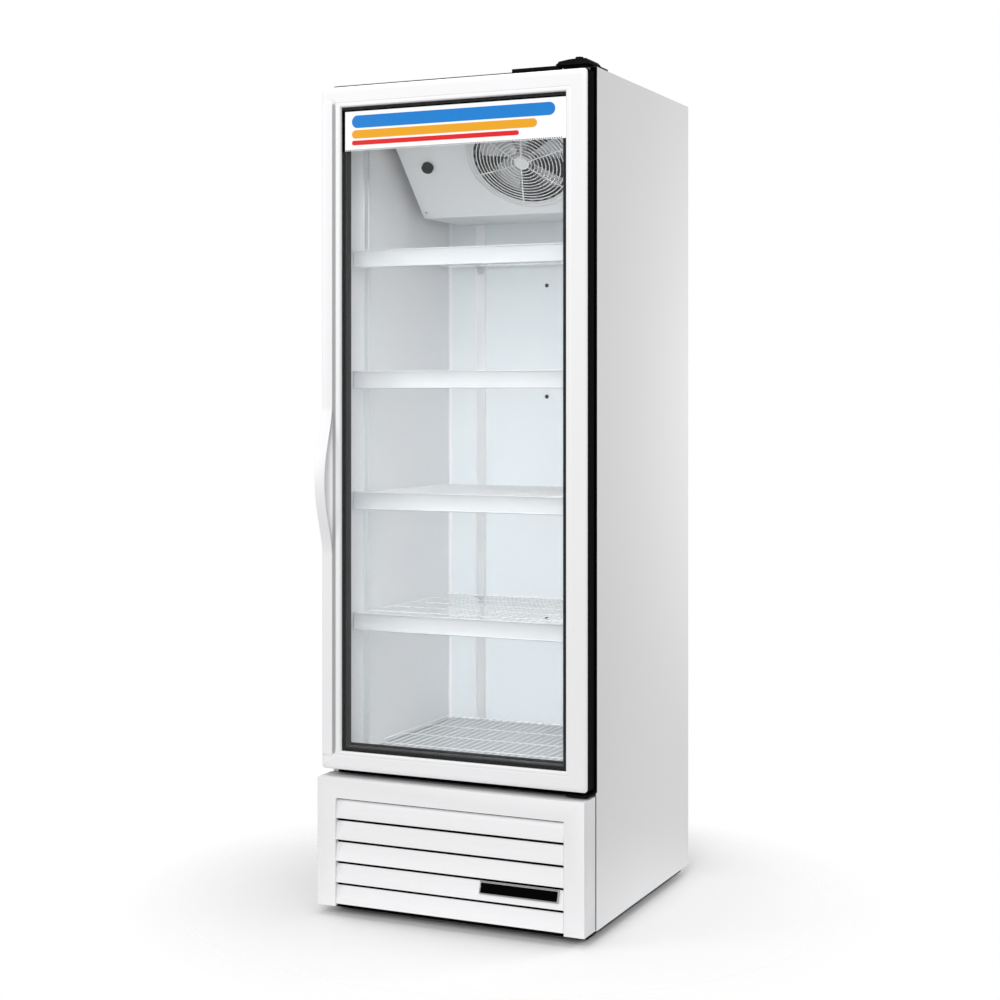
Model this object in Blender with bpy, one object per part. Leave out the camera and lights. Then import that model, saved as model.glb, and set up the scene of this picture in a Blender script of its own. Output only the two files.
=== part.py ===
"""Glass door merchandiser: an upright, one-door refrigerated display cabinet.

Units are metres and +Z is up.  The front faces -Y and +X is to the right of a person who
looks at the door.  A "depth" in this file is the distance behind the cabinet's front edge,
so pieces of the door and the grille, which stand in front of that edge, have negative depths.
"""

import math

import bmesh
import bpy
from mathutils import Matrix, Vector

# Driving dimensions of the cabinet
CABINET_WIDTH = 0.686
CABINET_DEPTH = 0.670
CABINET_TOP = 1.997
HANDLE_REACH = 0.098
FRONT_Y = -(CABINET_DEPTH - HANDLE_REACH) / 2
HALF_WIDTH = CABINET_WIDTH / 2
GAP = 0.0003

# Cabinet shell and insulation
SHEET = 0.0016
SIDE_BOTTOM = 0.022
FLANGE_WIDTH = 0.015
FLANGE_ROUNDING = 0.004
TOP_LIP = 0.011
DECK_Z = 0.3215
FRAME_DEPTH = 0.0202
SILL_TOP = 0.400

# Cold compartment
ROOM_HALF_WIDTH = 0.3175
ROOM_FLOOR = 0.365
ROOM_CEILING = 1.9472
ROOM_BACK = 0.6115
LINER = 0.0015

# Shelving
SHELF_COUNT = 4
SHELF_TOP_LEVEL = 1.6015
SHELF_PITCH = 0.296
SHELF_HALF_WIDTH = 0.312
SHELF_FRONT = 0.0498
SHELF_BACK = 0.588
SHELF_WIRE = 0.005
SHELF_GRID_COLUMNS = 18
SHELF_GRID_ROWS = 2
RAIL_STAND = 0.004
RAIL_HEIGHT = 0.043
RAIL_THICKNESS = 0.005
PILASTER_WIDTH = 0.028
PILASTER_THICKNESS = 0.0037
PILASTER_GROOVE = 0.0012
PILASTER_EDGE = 0.003
PILASTER_FRONT_TOP = 1.900
PILASTER_FRONT_DEPTH = 0.125
PILASTER_REAR_X = 0.222
LIGHT_DEPTHS = (0.0225, 0.0385)
LIGHT_HEIGHTS = (0.420, 1.900)

# Door
DOOR_HALF_WIDTH = 0.342
DOOR_BOTTOM = 0.3476
DOOR_TOP = 1.986
DOOR_FRONT = -0.0595
OPENING_HALF_WIDTH = 0.290
OPENING_BOTTOM = 0.392
OPENING_TOP = 1.9365
BEZEL_BACK = -0.0500
GLASS_FRONT = -0.0515
GLASS_BACK = GLASS_FRONT + 0.004
OUTER_PANE = (0.303, (0.3806, 1.9488))
REAR_PANE = (0.2935, (0.3890, 1.9395))
REAR_PANE_DEPTHS = (-0.0250, -0.0210)
DOOR_FRAME_INSET = 0.0018
DOOR_FRAME_BACK = -0.0083
SIGHT_EDGE = 0.005
SIGN_HALF_WIDTH = 0.2885
SIGN_HEIGHTS = (1.8310, 1.9290)
SIGN_THICKNESS = 0.0006
HINGE_X = 0.3255
HINGE_DEPTH = -0.0325
PIN_RADIUS = 0.004
PIN_CLEARANCE = 0.0008
CLOSER_BAR_LEFT = 0.145

# Handle
HANDLE_LEFT = -0.340
HANDLE_RIGHT = -0.313
HANDLE_BAND = 0.0032
HANDLE_BOTTOM = 0.3735
HANDLE_TOP = 1.9570
BOW_CENTRE_Z = 1.040
BOW_LENGTH = 0.352
BOW_HEIGHT = HANDLE_REACH + DOOR_FRONT

# Grille
GRILLE_FRONT = -0.078
GRILLE_BOTTOM = 0.0245
GRILLE_TOP = 0.3303
GRILLE_STILE = 0.050
GRILLE_FACE = 0.010
GRILLE_WALL = 0.0025
GRILLE_TOP_WALL = 0.002
LOUVRE_COUNT = 5
LOUVRE_TOP_LINE = 0.283
LOUVRE_PITCH = 0.0512
LOUVRE_SLANT = 0.014
LOUVRE_THICKNESS = 0.0025
LOUVRE_TUCK = 0.006
LOUVRE_SLOT = 0.004
LOUVRE_LIP = 0.002
LOUVRE_OVERLAP = 0.001
BADGE_HEIGHTS = (0.0965, 0.1245)
BADGE_ENDS = (0.082, 0.279)

# Machine compartment
TRAY_Z = 0.0303
TRAY_THICKNESS = 0.003
TRAY_TOP = TRAY_Z + TRAY_THICKNESS
TRAY_HALF_WIDTH = 0.305
TRAY_DEPTHS = (0.012, 0.650)
STAND_ON = TRAY_TOP + GAP
UNIT_TOP = 0.300
CONDENSER_LEFT = -0.285
CONDENSER_RIGHT = 0.095
CONDENSER_DEPTHS = (0.022, 0.066)
CONDENSER_HEIGHTS = (0.045, 0.295)
CONDENSER_PLATE = 0.003
CONDENSER_PLATES = (CONDENSER_LEFT - 0.002, CONDENSER_RIGHT - 0.001)
CONDENSER_FAN_X = -0.095
CONDENSER_FAN_DEPTH = 0.112
CONDENSER_FAN_Z = 0.170
CONDENSER_FAN_RADIUS = 0.100
CONDENSER_BLADE_DEPTH = 0.103
COMPRESSOR_X = 0.185
COMPRESSOR_DEPTH = 0.300
GUARD_BOTTOM = 0.034
SLOT_COLUMNS = 3
SLOT_ROWS = 7
SLOT_LEFT = -0.270
SLOT_BOTTOM = 0.070
SLOT_LENGTH = 0.160
SLOT_HEIGHT = 0.014
SLOT_COLUMN_PITCH = 0.190
SLOT_ROW_PITCH = 0.032

# Evaporator, on a face that slopes at 45 degrees
COIL_HOUSING_HALF_WIDTH = 0.285
SLOPE_TOP_DEPTH = 0.150
SLOPE_BOTTOM_DEPTH = 0.390
EVAPORATOR_TOP = ROOM_CEILING - GAP
EVAPORATOR_BOTTOM = EVAPORATOR_TOP - (SLOPE_BOTTOM_DEPTH - SLOPE_TOP_DEPTH)
SLOPE_TURN = (math.radians(45), 0.0, 0.0)
EVAPORATOR_COIL_HALF = 0.262
EVAPORATOR_COIL_DEPTHS = (0.470, 0.590)
EVAPORATOR_FAN_X = 0.045
EVAPORATOR_FAN_RADIUS = 0.118
FAN_BLADES = 5
GUARD_RADIUS = 0.148
KNOB_X = -0.215
KNOB_RADIUS = 0.015
KNOB_HEIGHT = 0.014

# Levelling feet
FOOT_X = 0.306
FOOT_DEPTHS = {"front": 0.016, "rear": 0.622}
FOOT_RADIUS = 0.015
FOOT_HEIGHT = 0.0055
STEM_RADIUS = 0.005
BASE_BOTTOM = 0.006
BASE_TOP = 0.030
BASE_FRONT = -0.018
BASE_BACK = 0.655
BASE_RAIL = 0.045

ORIGIN = Vector((0.0, 0.0, 0.0))
CIRCLE_SIDES = 24
SMALL_CIRCLE_SIDES = 16

# Colour, roughness, metallic and alpha of each finish
FINISHES = {
    "white_coat": ((0.83, 0.83, 0.84), 0.38, 0.0, 1.0),
    "liner_white": ((0.72, 0.74, 0.75), 0.45, 0.0, 1.0),
    "stainless": ((0.62, 0.63, 0.64), 0.30, 1.0, 1.0),
    "foam": ((0.80, 0.72, 0.50), 0.90, 0.0, 1.0),
    "black_coat": ((0.02, 0.02, 0.02), 0.50, 0.0, 1.0),
    "black_plastic": ((0.012, 0.012, 0.012), 0.40, 0.0, 1.0),
    "gasket_rubber": ((0.03, 0.03, 0.03), 0.65, 0.0, 1.0),
    "clear_glass": ((0.90, 0.95, 0.94), 0.02, 0.0, 0.15),
    "sign_white": ((0.88, 0.88, 0.89), 0.30, 0.0, 1.0),
    "wire_coat": ((0.78, 0.79, 0.80), 0.35, 0.0, 1.0),
    "rail_plastic": ((0.80, 0.81, 0.82), 0.30, 0.0, 1.0),
    "galvanised": ((0.55, 0.56, 0.58), 0.40, 1.0, 1.0),
    "aluminium": ((0.70, 0.71, 0.72), 0.35, 1.0, 1.0),
    "copper": ((0.72, 0.38, 0.24), 0.30, 1.0, 1.0),
    "light_lens": ((0.92, 0.94, 0.95), 0.25, 0.0, 1.0),
}


def clear_scene():
    """Remove every object of the open scene."""
    for old in list(bpy.data.objects):
        bpy.data.objects.remove(old, do_unlink=True)


def make_materials():
    """Return one Principled material for each finish."""
    materials = {}
    for name, (color, roughness, metallic, alpha) in FINISHES.items():
        material = bpy.data.materials.new(name)
        material.use_nodes = True
        shader = material.node_tree.nodes["Principled BSDF"]
        shader.inputs["Base Color"].default_value = (*color, 1.0)
        shader.inputs["Roughness"].default_value = roughness
        shader.inputs["Metallic"].default_value = metallic
        shader.inputs["Alpha"].default_value = alpha
        material.diffuse_color = (*color, alpha)
        materials[name] = material
    return materials


def place(x, depth, z):
    """Turn a width, a depth behind the cabinet's front edge and a height into a point."""
    return Vector((x, FRONT_Y + depth, z))


def box_mesh(low, high):
    """Return a box between two corners."""
    shape = bmesh.new()
    bmesh.ops.create_cube(shape, size=1.0)
    size = high - low
    bmesh.ops.scale(shape, vec=size, verts=shape.verts)
    bmesh.ops.translate(shape, vec=(low + high) / 2, verts=shape.verts)
    return shape


def slab(x_range, depth_range, z_range):
    """Return a box from three ranges, the middle one in depth."""
    low = place(x_range[0], depth_range[0], z_range[0])
    high = place(x_range[1], depth_range[1], z_range[1])
    return box_mesh(low, high)


def add_block(shape, x_range, depth_range, z_range):
    """Add one more box, given as a slab's, to a shape."""
    low = place(x_range[0], depth_range[0], z_range[0])
    high = place(x_range[1], depth_range[1], z_range[1])
    corners = bmesh.ops.create_cube(shape, size=1.0)["verts"]
    bmesh.ops.scale(shape, vec=high - low, verts=corners)
    bmesh.ops.translate(shape, vec=(low + high) / 2, verts=corners)


def prism_mesh(near, far):
    """Join two rings of matching points into a closed prism."""
    shape = bmesh.new()
    first = [shape.verts.new(point) for point in near]
    second = [shape.verts.new(point) for point in far]
    shape.faces.new(first)
    shape.faces.new(second)
    count = len(first)
    for index in range(count):
        after = (index + 1) % count
        shape.faces.new((first[index], first[after], second[after], second[index]))
    bmesh.ops.recalc_face_normals(shape, faces=shape.faces)
    return shape


def prism_along_x(outline, left, right):
    """Extrude an outline of (depth, z) points from left to right."""
    near = [place(left, depth, z) for depth, z in outline]
    far = [place(right, depth, z) for depth, z in outline]
    return prism_mesh(near, far)


def prism_along_z(outline, bottom, top):
    """Extrude an outline of (x, depth) points from bottom to top."""
    near = [place(x, depth, bottom) for x, depth in outline]
    far = [place(x, depth, top) for x, depth in outline]
    return prism_mesh(near, far)


def turned_mesh(profile, base, axis="Z", sides=CIRCLE_SIDES):
    """Turn a profile of (radius, distance) points about an axis through base.

    The profile starts and ends on the axis, where its radius is zero.
    """
    shape = bmesh.new()
    rings = []
    for radius, distance in profile:
        if radius == 0.0:
            rings.append([shape.verts.new((0.0, 0.0, distance))])
            continue
        ring = []
        for index in range(sides):
            angle = 2 * math.pi * index / sides
            ring.append(shape.verts.new((radius * math.cos(angle), radius * math.sin(angle), distance)))
        rings.append(ring)
    for lower, upper in zip(rings, rings[1:]):
        for index in range(sides):
            after = (index + 1) % sides
            corners = [lower[index % len(lower)], lower[after % len(lower)]]
            corners += [upper[after % len(upper)], upper[index % len(upper)]]
            shape.faces.new(list(dict.fromkeys(corners)))
    if axis == "Y":
        bmesh.ops.rotate(shape, matrix=Matrix.Rotation(-math.pi / 2, 3, "X"), verts=shape.verts)
    bmesh.ops.translate(shape, vec=base, verts=shape.verts)
    bmesh.ops.recalc_face_normals(shape, faces=shape.faces)
    return shape


def rod_mesh(radius, base, length, axis="Z", sides=CIRCLE_SIDES):
    """Return a plain cylinder that starts at base."""
    return turned_mesh([(0.0, 0.0), (radius, 0.0), (radius, length), (0.0, length)], base, axis, sides)


def ring_mesh(outer, inner, thickness, base, sides=CIRCLE_SIDES):
    """Return a flat ring about an axis along Y, its front face at base."""
    shape = bmesh.new()
    loops = []
    for radius, distance in ((outer, 0.0), (outer, thickness), (inner, thickness), (inner, 0.0)):
        loop = []
        for index in range(sides):
            angle = 2 * math.pi * index / sides
            point = Vector((radius * math.cos(angle), distance, radius * math.sin(angle)))
            loop.append(shape.verts.new(point + base))
        loops.append(loop)
    for loop, following in zip(loops, loops[1:] + loops[:1]):
        for index in range(sides):
            after = (index + 1) % sides
            shape.faces.new((loop[index], loop[after], following[after], following[index]))
    bmesh.ops.recalc_face_normals(shape, faces=shape.faces)
    return shape


class Workshop:
    """Makes finished pieces and the hidden shapes that cut or join them."""

    def __init__(self, materials):
        self.materials = materials
        self.collection = bpy.context.scene.collection

    def axis_empty(self, name, location):
        """Add an empty on a joint's axis, to carry the pieces that move with it."""
        empty = bpy.data.objects.new(name, None)
        empty.location = location
        self.collection.objects.link(empty)
        return empty

    def piece(self, name, shape, finish, pivot=ORIGIN, carrier=None, smooth=None):
        """Make a named piece whose shape is given in world coordinates."""
        mesh = self.mesh_from(name, shape, pivot)
        mesh.materials.append(self.materials[finish])
        if smooth is not None:
            mesh.shade_smooth()
            mesh.set_sharp_from_angle(angle=math.radians(smooth))
        item = bpy.data.objects.new(name, mesh)
        item.location = pivot
        if carrier is not None:
            item.parent = carrier
            item.location = pivot - carrier.location
        self.collection.objects.link(item)
        return item

    def mesh_from(self, name, shape, pivot):
        """Turn a bmesh into a mesh whose origin is at the pivot."""
        bmesh.ops.translate(shape, vec=-pivot, verts=shape.verts)
        mesh = bpy.data.meshes.new(name)
        shape.to_mesh(mesh)
        shape.free()
        return mesh

    def combine(self, item, shape, operation, pivot=ORIGIN):
        """Cut a shape from a piece, or join it to the piece, with a Boolean modifier."""
        helper_name = f"{item.name}.{operation.lower()}_{len(item.modifiers)}"
        helper = bpy.data.objects.new(helper_name, self.mesh_from(helper_name, shape, pivot))
        helper.parent = item
        helper.hide_render = True
        helper.display_type = "WIRE"
        self.collection.objects.link(helper)
        modifier = item.modifiers.new(helper_name, "BOOLEAN")
        modifier.operation = operation
        modifier.object = helper

    def cut(self, item, shape, pivot=ORIGIN):
        """Cut a shape from a piece."""
        self.combine(item, shape, "DIFFERENCE", pivot)

    def join(self, item, shape, pivot=ORIGIN):
        """Join a shape to a piece."""
        self.combine(item, shape, "UNION", pivot)


def build_side_panels(shop):
    """Fold each side panel round a small radius into its front flange."""
    for side, sign in (("left", -1), ("right", 1)):
        corner = HALF_WIDTH - FLANGE_ROUNDING
        outline = [(HALF_WIDTH, CABINET_DEPTH)]
        for step in range(5):
            angle = math.pi / 2 * step / 4
            x = corner + FLANGE_ROUNDING * math.cos(angle)
            outline.append((x, FLANGE_ROUNDING - FLANGE_ROUNDING * math.sin(angle)))
        flange_end = HALF_WIDTH - FLANGE_WIDTH
        outline += [(flange_end, 0.0), (flange_end, SHEET)]
        outline += [(corner, SHEET), (HALF_WIDTH - SHEET, FLANGE_ROUNDING)]
        outline.append((HALF_WIDTH - SHEET, CABINET_DEPTH))
        mirrored = [(sign * x, depth) for x, depth in outline]
        shape = prism_along_z(mirrored, SIDE_BOTTOM, CABINET_TOP)
        shop.piece(f"side_panel_{side}", shape, "white_coat", smooth=35)


def build_outer_sheets(shop):
    """Make the top panel with its front lip, the back panel and the deck under the insulation."""
    inner = HALF_WIDTH - SHEET - GAP
    back = CABINET_DEPTH - SHEET
    lip_half = HALF_WIDTH - FLANGE_WIDTH - GAP
    top_under = CABINET_TOP - SHEET
    top = shop.piece(
        "top_panel",
        slab((-inner, inner), (FLANGE_ROUNDING + GAP, CABINET_DEPTH), (top_under, CABINET_TOP)),
        "white_coat",
    )
    shop.join(top, slab((-lip_half, lip_half), (0.0, FLANGE_ROUNDING + 2 * GAP), (top_under, CABINET_TOP)))
    shop.join(top, slab((-lip_half, lip_half), (0.0, SHEET), (CABINET_TOP - TOP_LIP, CABINET_TOP - GAP)))
    back_z = (DECK_Z + 2 * GAP, top_under - GAP)
    shop.piece("back_panel", slab((-inner, inner), (back, CABINET_DEPTH), back_z), "galvanised")
    deck_z = (DECK_Z - SHEET, DECK_Z)
    shop.piece("compartment_deck", slab((-inner, inner), (FLANGE_ROUNDING + GAP, back), deck_z), "galvanised")


def build_insulation(shop):
    """Make the five-sided foam box, open towards the door."""
    inner = HALF_WIDTH - SHEET - GAP
    foam_z = (DECK_Z + GAP, CABINET_TOP - SHEET - GAP)
    foam_depth = (FRAME_DEPTH + GAP, CABINET_DEPTH - SHEET - GAP)
    foam = shop.piece("insulation_foam", slab((-inner, inner), foam_depth, foam_z), "foam")
    hollow_x = ROOM_HALF_WIDTH + LINER + GAP
    hollow_z = (ROOM_FLOOR - LINER - GAP, ROOM_CEILING + LINER + GAP)
    hollow = slab((-hollow_x, hollow_x), (0.0, ROOM_BACK + LINER + GAP), hollow_z)
    shop.cut(foam, hollow)


def build_liner(shop):
    """Line the cold compartment with five separate sheets."""
    outer = ROOM_HALF_WIDTH + LINER
    front = FRAME_DEPTH + GAP
    wall_z = (ROOM_FLOOR + GAP, ROOM_CEILING - GAP)
    for side, sign in (("left", -1), ("right", 1)):
        span = sorted((sign * ROOM_HALF_WIDTH, sign * outer))
        shop.piece(f"liner_{side}", slab(span, (front, ROOM_BACK - GAP), wall_z), "liner_white")
    back_depth = (ROOM_BACK, ROOM_BACK + LINER)
    full_depth = (front, ROOM_BACK + LINER)
    shop.piece("liner_back", slab((-outer, outer), back_depth, wall_z), "liner_white")
    ceiling_z = (ROOM_CEILING, ROOM_CEILING + LINER)
    shop.piece("liner_ceiling", slab((-outer, outer), full_depth, ceiling_z), "liner_white")
    floor_z = (ROOM_FLOOR - LINER, ROOM_FLOOR)
    shop.piece("liner_floor", slab((-outer, outer), full_depth, floor_z), "stainless")


def build_front_frame(shop):
    """Make the frame round the doorway that the gasket closes on."""
    outer = HALF_WIDTH - FLANGE_WIDTH - GAP
    frame_z = (DECK_Z + GAP, CABINET_TOP - TOP_LIP - GAP)
    frame = shop.piece("front_frame", slab((-outer, outer), (0.0, FRAME_DEPTH), frame_z), "black_plastic")
    through = (-FRAME_DEPTH, 2 * FRAME_DEPTH)
    doorway = slab((-ROOM_HALF_WIDTH, ROOM_HALF_WIDTH), through, (SILL_TOP, ROOM_CEILING))
    shop.cut(frame, doorway)


def build_base(shop):
    """Make the base frame, a shallow pan upside down, and its four screwed feet."""
    half = HALF_WIDTH - FLANGE_WIDTH - 2 * GAP
    base = shop.piece(
        "base_frame", slab((-half, half), (BASE_FRONT, BASE_BACK), (BASE_BOTTOM, BASE_TOP)), "black_coat"
    )
    pocket_depth = (BASE_FRONT + BASE_RAIL, BASE_BACK - BASE_RAIL)
    pocket_z = (0.0, BASE_TOP - SHEET)
    shop.cut(base, slab((BASE_RAIL - half, half - BASE_RAIL), pocket_depth, pocket_z))
    edge = 0.0025
    rim_height = 0.004
    stem_top = BASE_TOP - 0.003
    for row, depth in FOOT_DEPTHS.items():
        for side, sign in (("left", -1), ("right", 1)):
            pivot = place(sign * FOOT_X, depth, 0.0)
            shop.cut(base, rod_mesh(STEM_RADIUS + PIN_CLEARANCE, pivot, 2 * BASE_TOP))
            profile = [(0.0, 0.0), (FOOT_RADIUS, 0.0), (FOOT_RADIUS, rim_height)]
            profile += [(FOOT_RADIUS - edge, FOOT_HEIGHT), (STEM_RADIUS, FOOT_HEIGHT)]
            profile += [(STEM_RADIUS, stem_top), (0.0, stem_top)]
            foot = turned_mesh(profile, pivot, sides=SMALL_CIRCLE_SIDES)
            shop.piece(f"leveler_{row}_{side}", foot, "galvanised", pivot=pivot, smooth=35)


def louvre_line(index):
    """Return the height of the slot line above a louvre."""
    return LOUVRE_TOP_LINE - LOUVRE_PITCH * index


def build_grille(shop):
    """Make the louvred front cover of the machine compartment and its plain badge."""
    window = HALF_WIDTH - GRILLE_STILE
    inner = HALF_WIDTH - GRILLE_WALL
    depths = (GRILLE_FRONT, -2 * GAP)
    grille = shop.piece(
        "front_grille", slab((-HALF_WIDTH, HALF_WIDTH), depths, (GRILLE_BOTTOM, GRILLE_TOP)), "white_coat"
    )
    behind_face = (GRILLE_FRONT + GRILLE_FACE, -GRILLE_FRONT)
    shop.cut(grille, slab((-inner, inner), behind_face, (0.0, GRILLE_TOP - GRILLE_TOP_WALL)))
    right_through = (2 * GRILLE_FRONT, -GRILLE_FRONT)
    shop.cut(grille, slab((-window, window), right_through, (-GRILLE_TOP, LOUVRE_TOP_LINE)))
    slat_end = window + LOUVRE_OVERLAP
    lip = GRILLE_FRONT + GAP
    back = lip + LOUVRE_SLANT
    for index in range(LOUVRE_COUNT):
        top = louvre_line(index) + LOUVRE_TUCK
        bottom = louvre_line(index + 1) + LOUVRE_SLOT
        outline = [(back, top), (lip, bottom + LOUVRE_LIP), (lip, bottom)]
        outline += [(lip + LOUVRE_THICKNESS, bottom), (back + LOUVRE_THICKNESS, top)]
        shop.join(grille, prism_along_x(outline, -slat_end, slat_end))
    build_badge(shop, back)


def build_badge(shop, back):
    """Lay a plain plate on the slope of the lowest louvre but one."""
    top = louvre_line(3) + LOUVRE_TUCK
    bottom = louvre_line(4) + LOUVRE_TUCK
    slope = (GRILLE_FRONT - back) / (bottom - top)
    lift = 0.0005
    plate = 0.0022
    badge_bottom, badge_top = BADGE_HEIGHTS
    outline = []
    corners = ((badge_bottom, lift), (badge_top, lift), (badge_top, plate), (badge_bottom, plate))
    for height, offset in corners:
        outline.append((back + slope * (height - top) - offset, height))
    shop.piece("badge_plate", prism_along_x(outline, *BADGE_ENDS), "black_plastic")


def build_condensing_unit(shop, carrier):
    """Make the sliding tray and what stands on it."""
    tray = slab((-TRAY_HALF_WIDTH, TRAY_HALF_WIDTH), TRAY_DEPTHS, (TRAY_Z, TRAY_TOP))
    shop.piece("unit_tray", tray, "galvanised", carrier=carrier)
    build_condenser_coil(shop, carrier)
    build_condenser_shroud(shop, carrier)
    build_condenser_fan(shop, carrier)
    build_compressor(shop, carrier)
    build_condensate_pan(shop, carrier)
    build_electrical_box(shop, carrier)
    build_refrigerant_line(shop, carrier)
    build_rear_guard(shop, carrier)


def build_condenser_coil(shop, carrier):
    """Make the condenser's block of fins, its two end plates and the tube bends beside it."""
    block = slab((CONDENSER_LEFT, CONDENSER_RIGHT), CONDENSER_DEPTHS, CONDENSER_HEIGHTS)
    coil = shop.piece("condenser_coil", block, "aluminium", carrier=carrier)
    rim = 0.004
    plate_depths = (CONDENSER_DEPTHS[0] - rim, CONDENSER_DEPTHS[1] + rim)
    for x in CONDENSER_PLATES:
        shop.join(coil, slab((x, x + CONDENSER_PLATE), plate_depths, (STAND_ON, UNIT_TOP)))
    bend_radius = 0.006
    bend_reach = 0.016
    to_side = Matrix.Rotation(math.pi / 2, 3, "Y")
    for row in range(4):
        start = place(CONDENSER_RIGHT, sum(CONDENSER_DEPTHS) / 2, 0.080 + 0.060 * row)
        bend = rod_mesh(bend_radius, start, bend_reach, sides=8)
        bmesh.ops.rotate(bend, cent=start, matrix=to_side, verts=bend.verts)
        shop.join(coil, bend)


def build_condenser_shroud(shop, carrier):
    """Make the box that leads the air from the condenser to its fan."""
    left, right = CONDENSER_PLATES[0], CONDENSER_PLATES[1] + CONDENSER_PLATE
    front, back = CONDENSER_DEPTHS[1] + 0.0045, 0.100
    wall = 0.0025
    shroud = shop.piece(
        "condenser_fan_shroud", slab((left, right), (front, back), (STAND_ON, UNIT_TOP)), "black_coat",
        carrier=carrier,
    )
    inside = slab((left + wall, right - wall), (0.060, back - wall), (STAND_ON + wall, UNIT_TOP - wall))
    shop.cut(shroud, inside)
    throat_start = place(CONDENSER_FAN_X, CONDENSER_FAN_DEPTH - 0.03, CONDENSER_FAN_Z)
    throat = rod_mesh(CONDENSER_FAN_RADIUS + 0.006, throat_start, 0.06, axis="Y", sides=32)
    shop.cut(shroud, throat)


def build_condenser_fan(shop, carrier):
    """Make the condenser's fan motor on its foot, and the fan in front of it."""
    motor_profile = [(0.0, 0.0), (0.032, 0.0), (0.040, 0.008), (0.040, 0.060), (0.030, 0.068), (0.0, 0.068)]
    motor_front = place(CONDENSER_FAN_X, CONDENSER_FAN_DEPTH + 0.024, CONDENSER_FAN_Z)
    motor = shop.piece(
        "condenser_fan_motor", turned_mesh(motor_profile, motor_front, axis="Y"), "black_coat",
        carrier=carrier, smooth=35,
    )
    leg_half, foot_half = 0.012, 0.040
    leg_depth, foot_back = 0.150, 0.190
    leg_x = (CONDENSER_FAN_X - leg_half, CONDENSER_FAN_X + leg_half)
    shop.join(motor, slab(leg_x, (leg_depth, leg_depth + 0.004), (STAND_ON, CONDENSER_FAN_Z - 0.020)))
    foot_x = (CONDENSER_FAN_X - foot_half, CONDENSER_FAN_X + foot_half)
    shop.join(motor, slab(foot_x, (leg_depth, foot_back), (STAND_ON, STAND_ON + 0.003)))
    fan_mesh(
        shop, "condenser_fan_blade", "aluminium",
        place(CONDENSER_FAN_X, CONDENSER_BLADE_DEPTH, CONDENSER_FAN_Z), CONDENSER_FAN_RADIUS, 0.026, 0.028,
        (0.0, 0.0, 0.0), carrier,
    )


def build_compressor(shop, carrier):
    """Make the compressor's welded shell on a plate with four rubber feet."""
    base = place(COMPRESSOR_X, COMPRESSOR_DEPTH, STAND_ON + 0.010)
    dome = [(0.0, 0.0), (0.070, 0.004), (0.080, 0.018), (0.080, 0.100), (0.082, 0.102), (0.082, 0.110)]
    dome += [(0.078, 0.112), (0.074, 0.140), (0.058, 0.164), (0.030, 0.177), (0.0, 0.180)]
    compressor = shop.piece(
        "compressor", turned_mesh(dome, base), "black_coat", carrier=carrier, smooth=40
    )
    plate_x = (COMPRESSOR_X - 0.100, COMPRESSOR_X + 0.100)
    plate_depths = (COMPRESSOR_DEPTH - 0.065, COMPRESSOR_DEPTH + 0.065)
    shop.join(compressor, slab(plate_x, plate_depths, (STAND_ON + 0.006, STAND_ON + 0.012)))
    for across in (-0.085, 0.085):
        for along in (-0.050, 0.050):
            foot = place(COMPRESSOR_X + across, COMPRESSOR_DEPTH + along, STAND_ON)
            shop.join(compressor, rod_mesh(0.010, foot, 0.008, sides=12))


def build_condensate_pan(shop, carrier):
    """Make the open pan that the melt water evaporates from."""
    left, right = -0.270, 0.060
    front, back = 0.420, 0.600
    height = 0.032
    wall = 0.003
    pan = shop.piece(
        "condensate_pan", slab((left, right), (front, back), (STAND_ON, STAND_ON + height)), "black_plastic",
        carrier=carrier,
    )
    inside_z = (STAND_ON + wall, STAND_ON + 2 * height)
    shop.cut(pan, slab((left + wall, right - wall), (front + wall, back - wall), inside_z))


def build_electrical_box(shop, carrier):
    """Make the electrical box, whose gland lets the supply cord in from behind."""
    left, right = 0.150, 0.280
    front, back = 0.470, 0.610
    top = 0.190
    box = shop.piece(
        "electrical_box", slab((left, right), (front, back), (STAND_ON, top)), "galvanised", carrier=carrier
    )
    gland_base = place((left + right) / 2, back - 0.010, 0.110)
    shop.join(box, rod_mesh(0.011, gland_base, 0.028, axis="Y", sides=SMALL_CIRCLE_SIDES))


def smooth_route(points, per_span):
    """Return points along a smooth curve that passes through every point of a route."""
    samples = []
    for index in range(len(points) - 1):
        before = points[max(index - 1, 0)]
        start, end = points[index], points[index + 1]
        after = points[min(index + 2, len(points) - 1)]
        for step in range(per_span):
            t = step / per_span
            samples.append(
                0.5 * (2 * start + (end - before) * t + (2 * before - 5 * start + 4 * end - after) * t ** 2
                       + (3 * start - before - 3 * end + after) * t ** 3)
            )
    samples.append(points[-1])
    return samples


def build_refrigerant_line(shop, carrier):
    """Run a copper tube from the compressor's shell to the head of the condenser."""
    route = [(0.1010, 0.300, 0.150), (0.085, 0.300, 0.150), (0.062, 0.285, 0.165), (0.058, 0.250, 0.200)]
    route += [(0.062, 0.210, 0.262), (0.085, 0.165, 0.282), (0.125, 0.120, 0.280), (0.140, 0.075, 0.270)]
    route += [(0.132, 0.048, 0.260), (0.1113, 0.044, 0.260)]
    samples = smooth_route([place(*point) for point in route], per_span=5)
    curve = bpy.data.curves.new("refrigerant_line", "CURVE")
    curve.dimensions = "3D"
    curve.bevel_depth = 0.004
    curve.bevel_resolution = 2
    curve.use_fill_caps = True
    spline = curve.splines.new("POLY")
    spline.points.add(len(samples) - 1)
    for spline_point, sample in zip(spline.points, samples):
        spline_point.co = (*sample, 1.0)
    curve.materials.append(shop.materials["copper"])
    line = bpy.data.objects.new("refrigerant_line", curve)
    line.parent = carrier
    line.location = -carrier.location
    shop.collection.objects.link(line)


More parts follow.
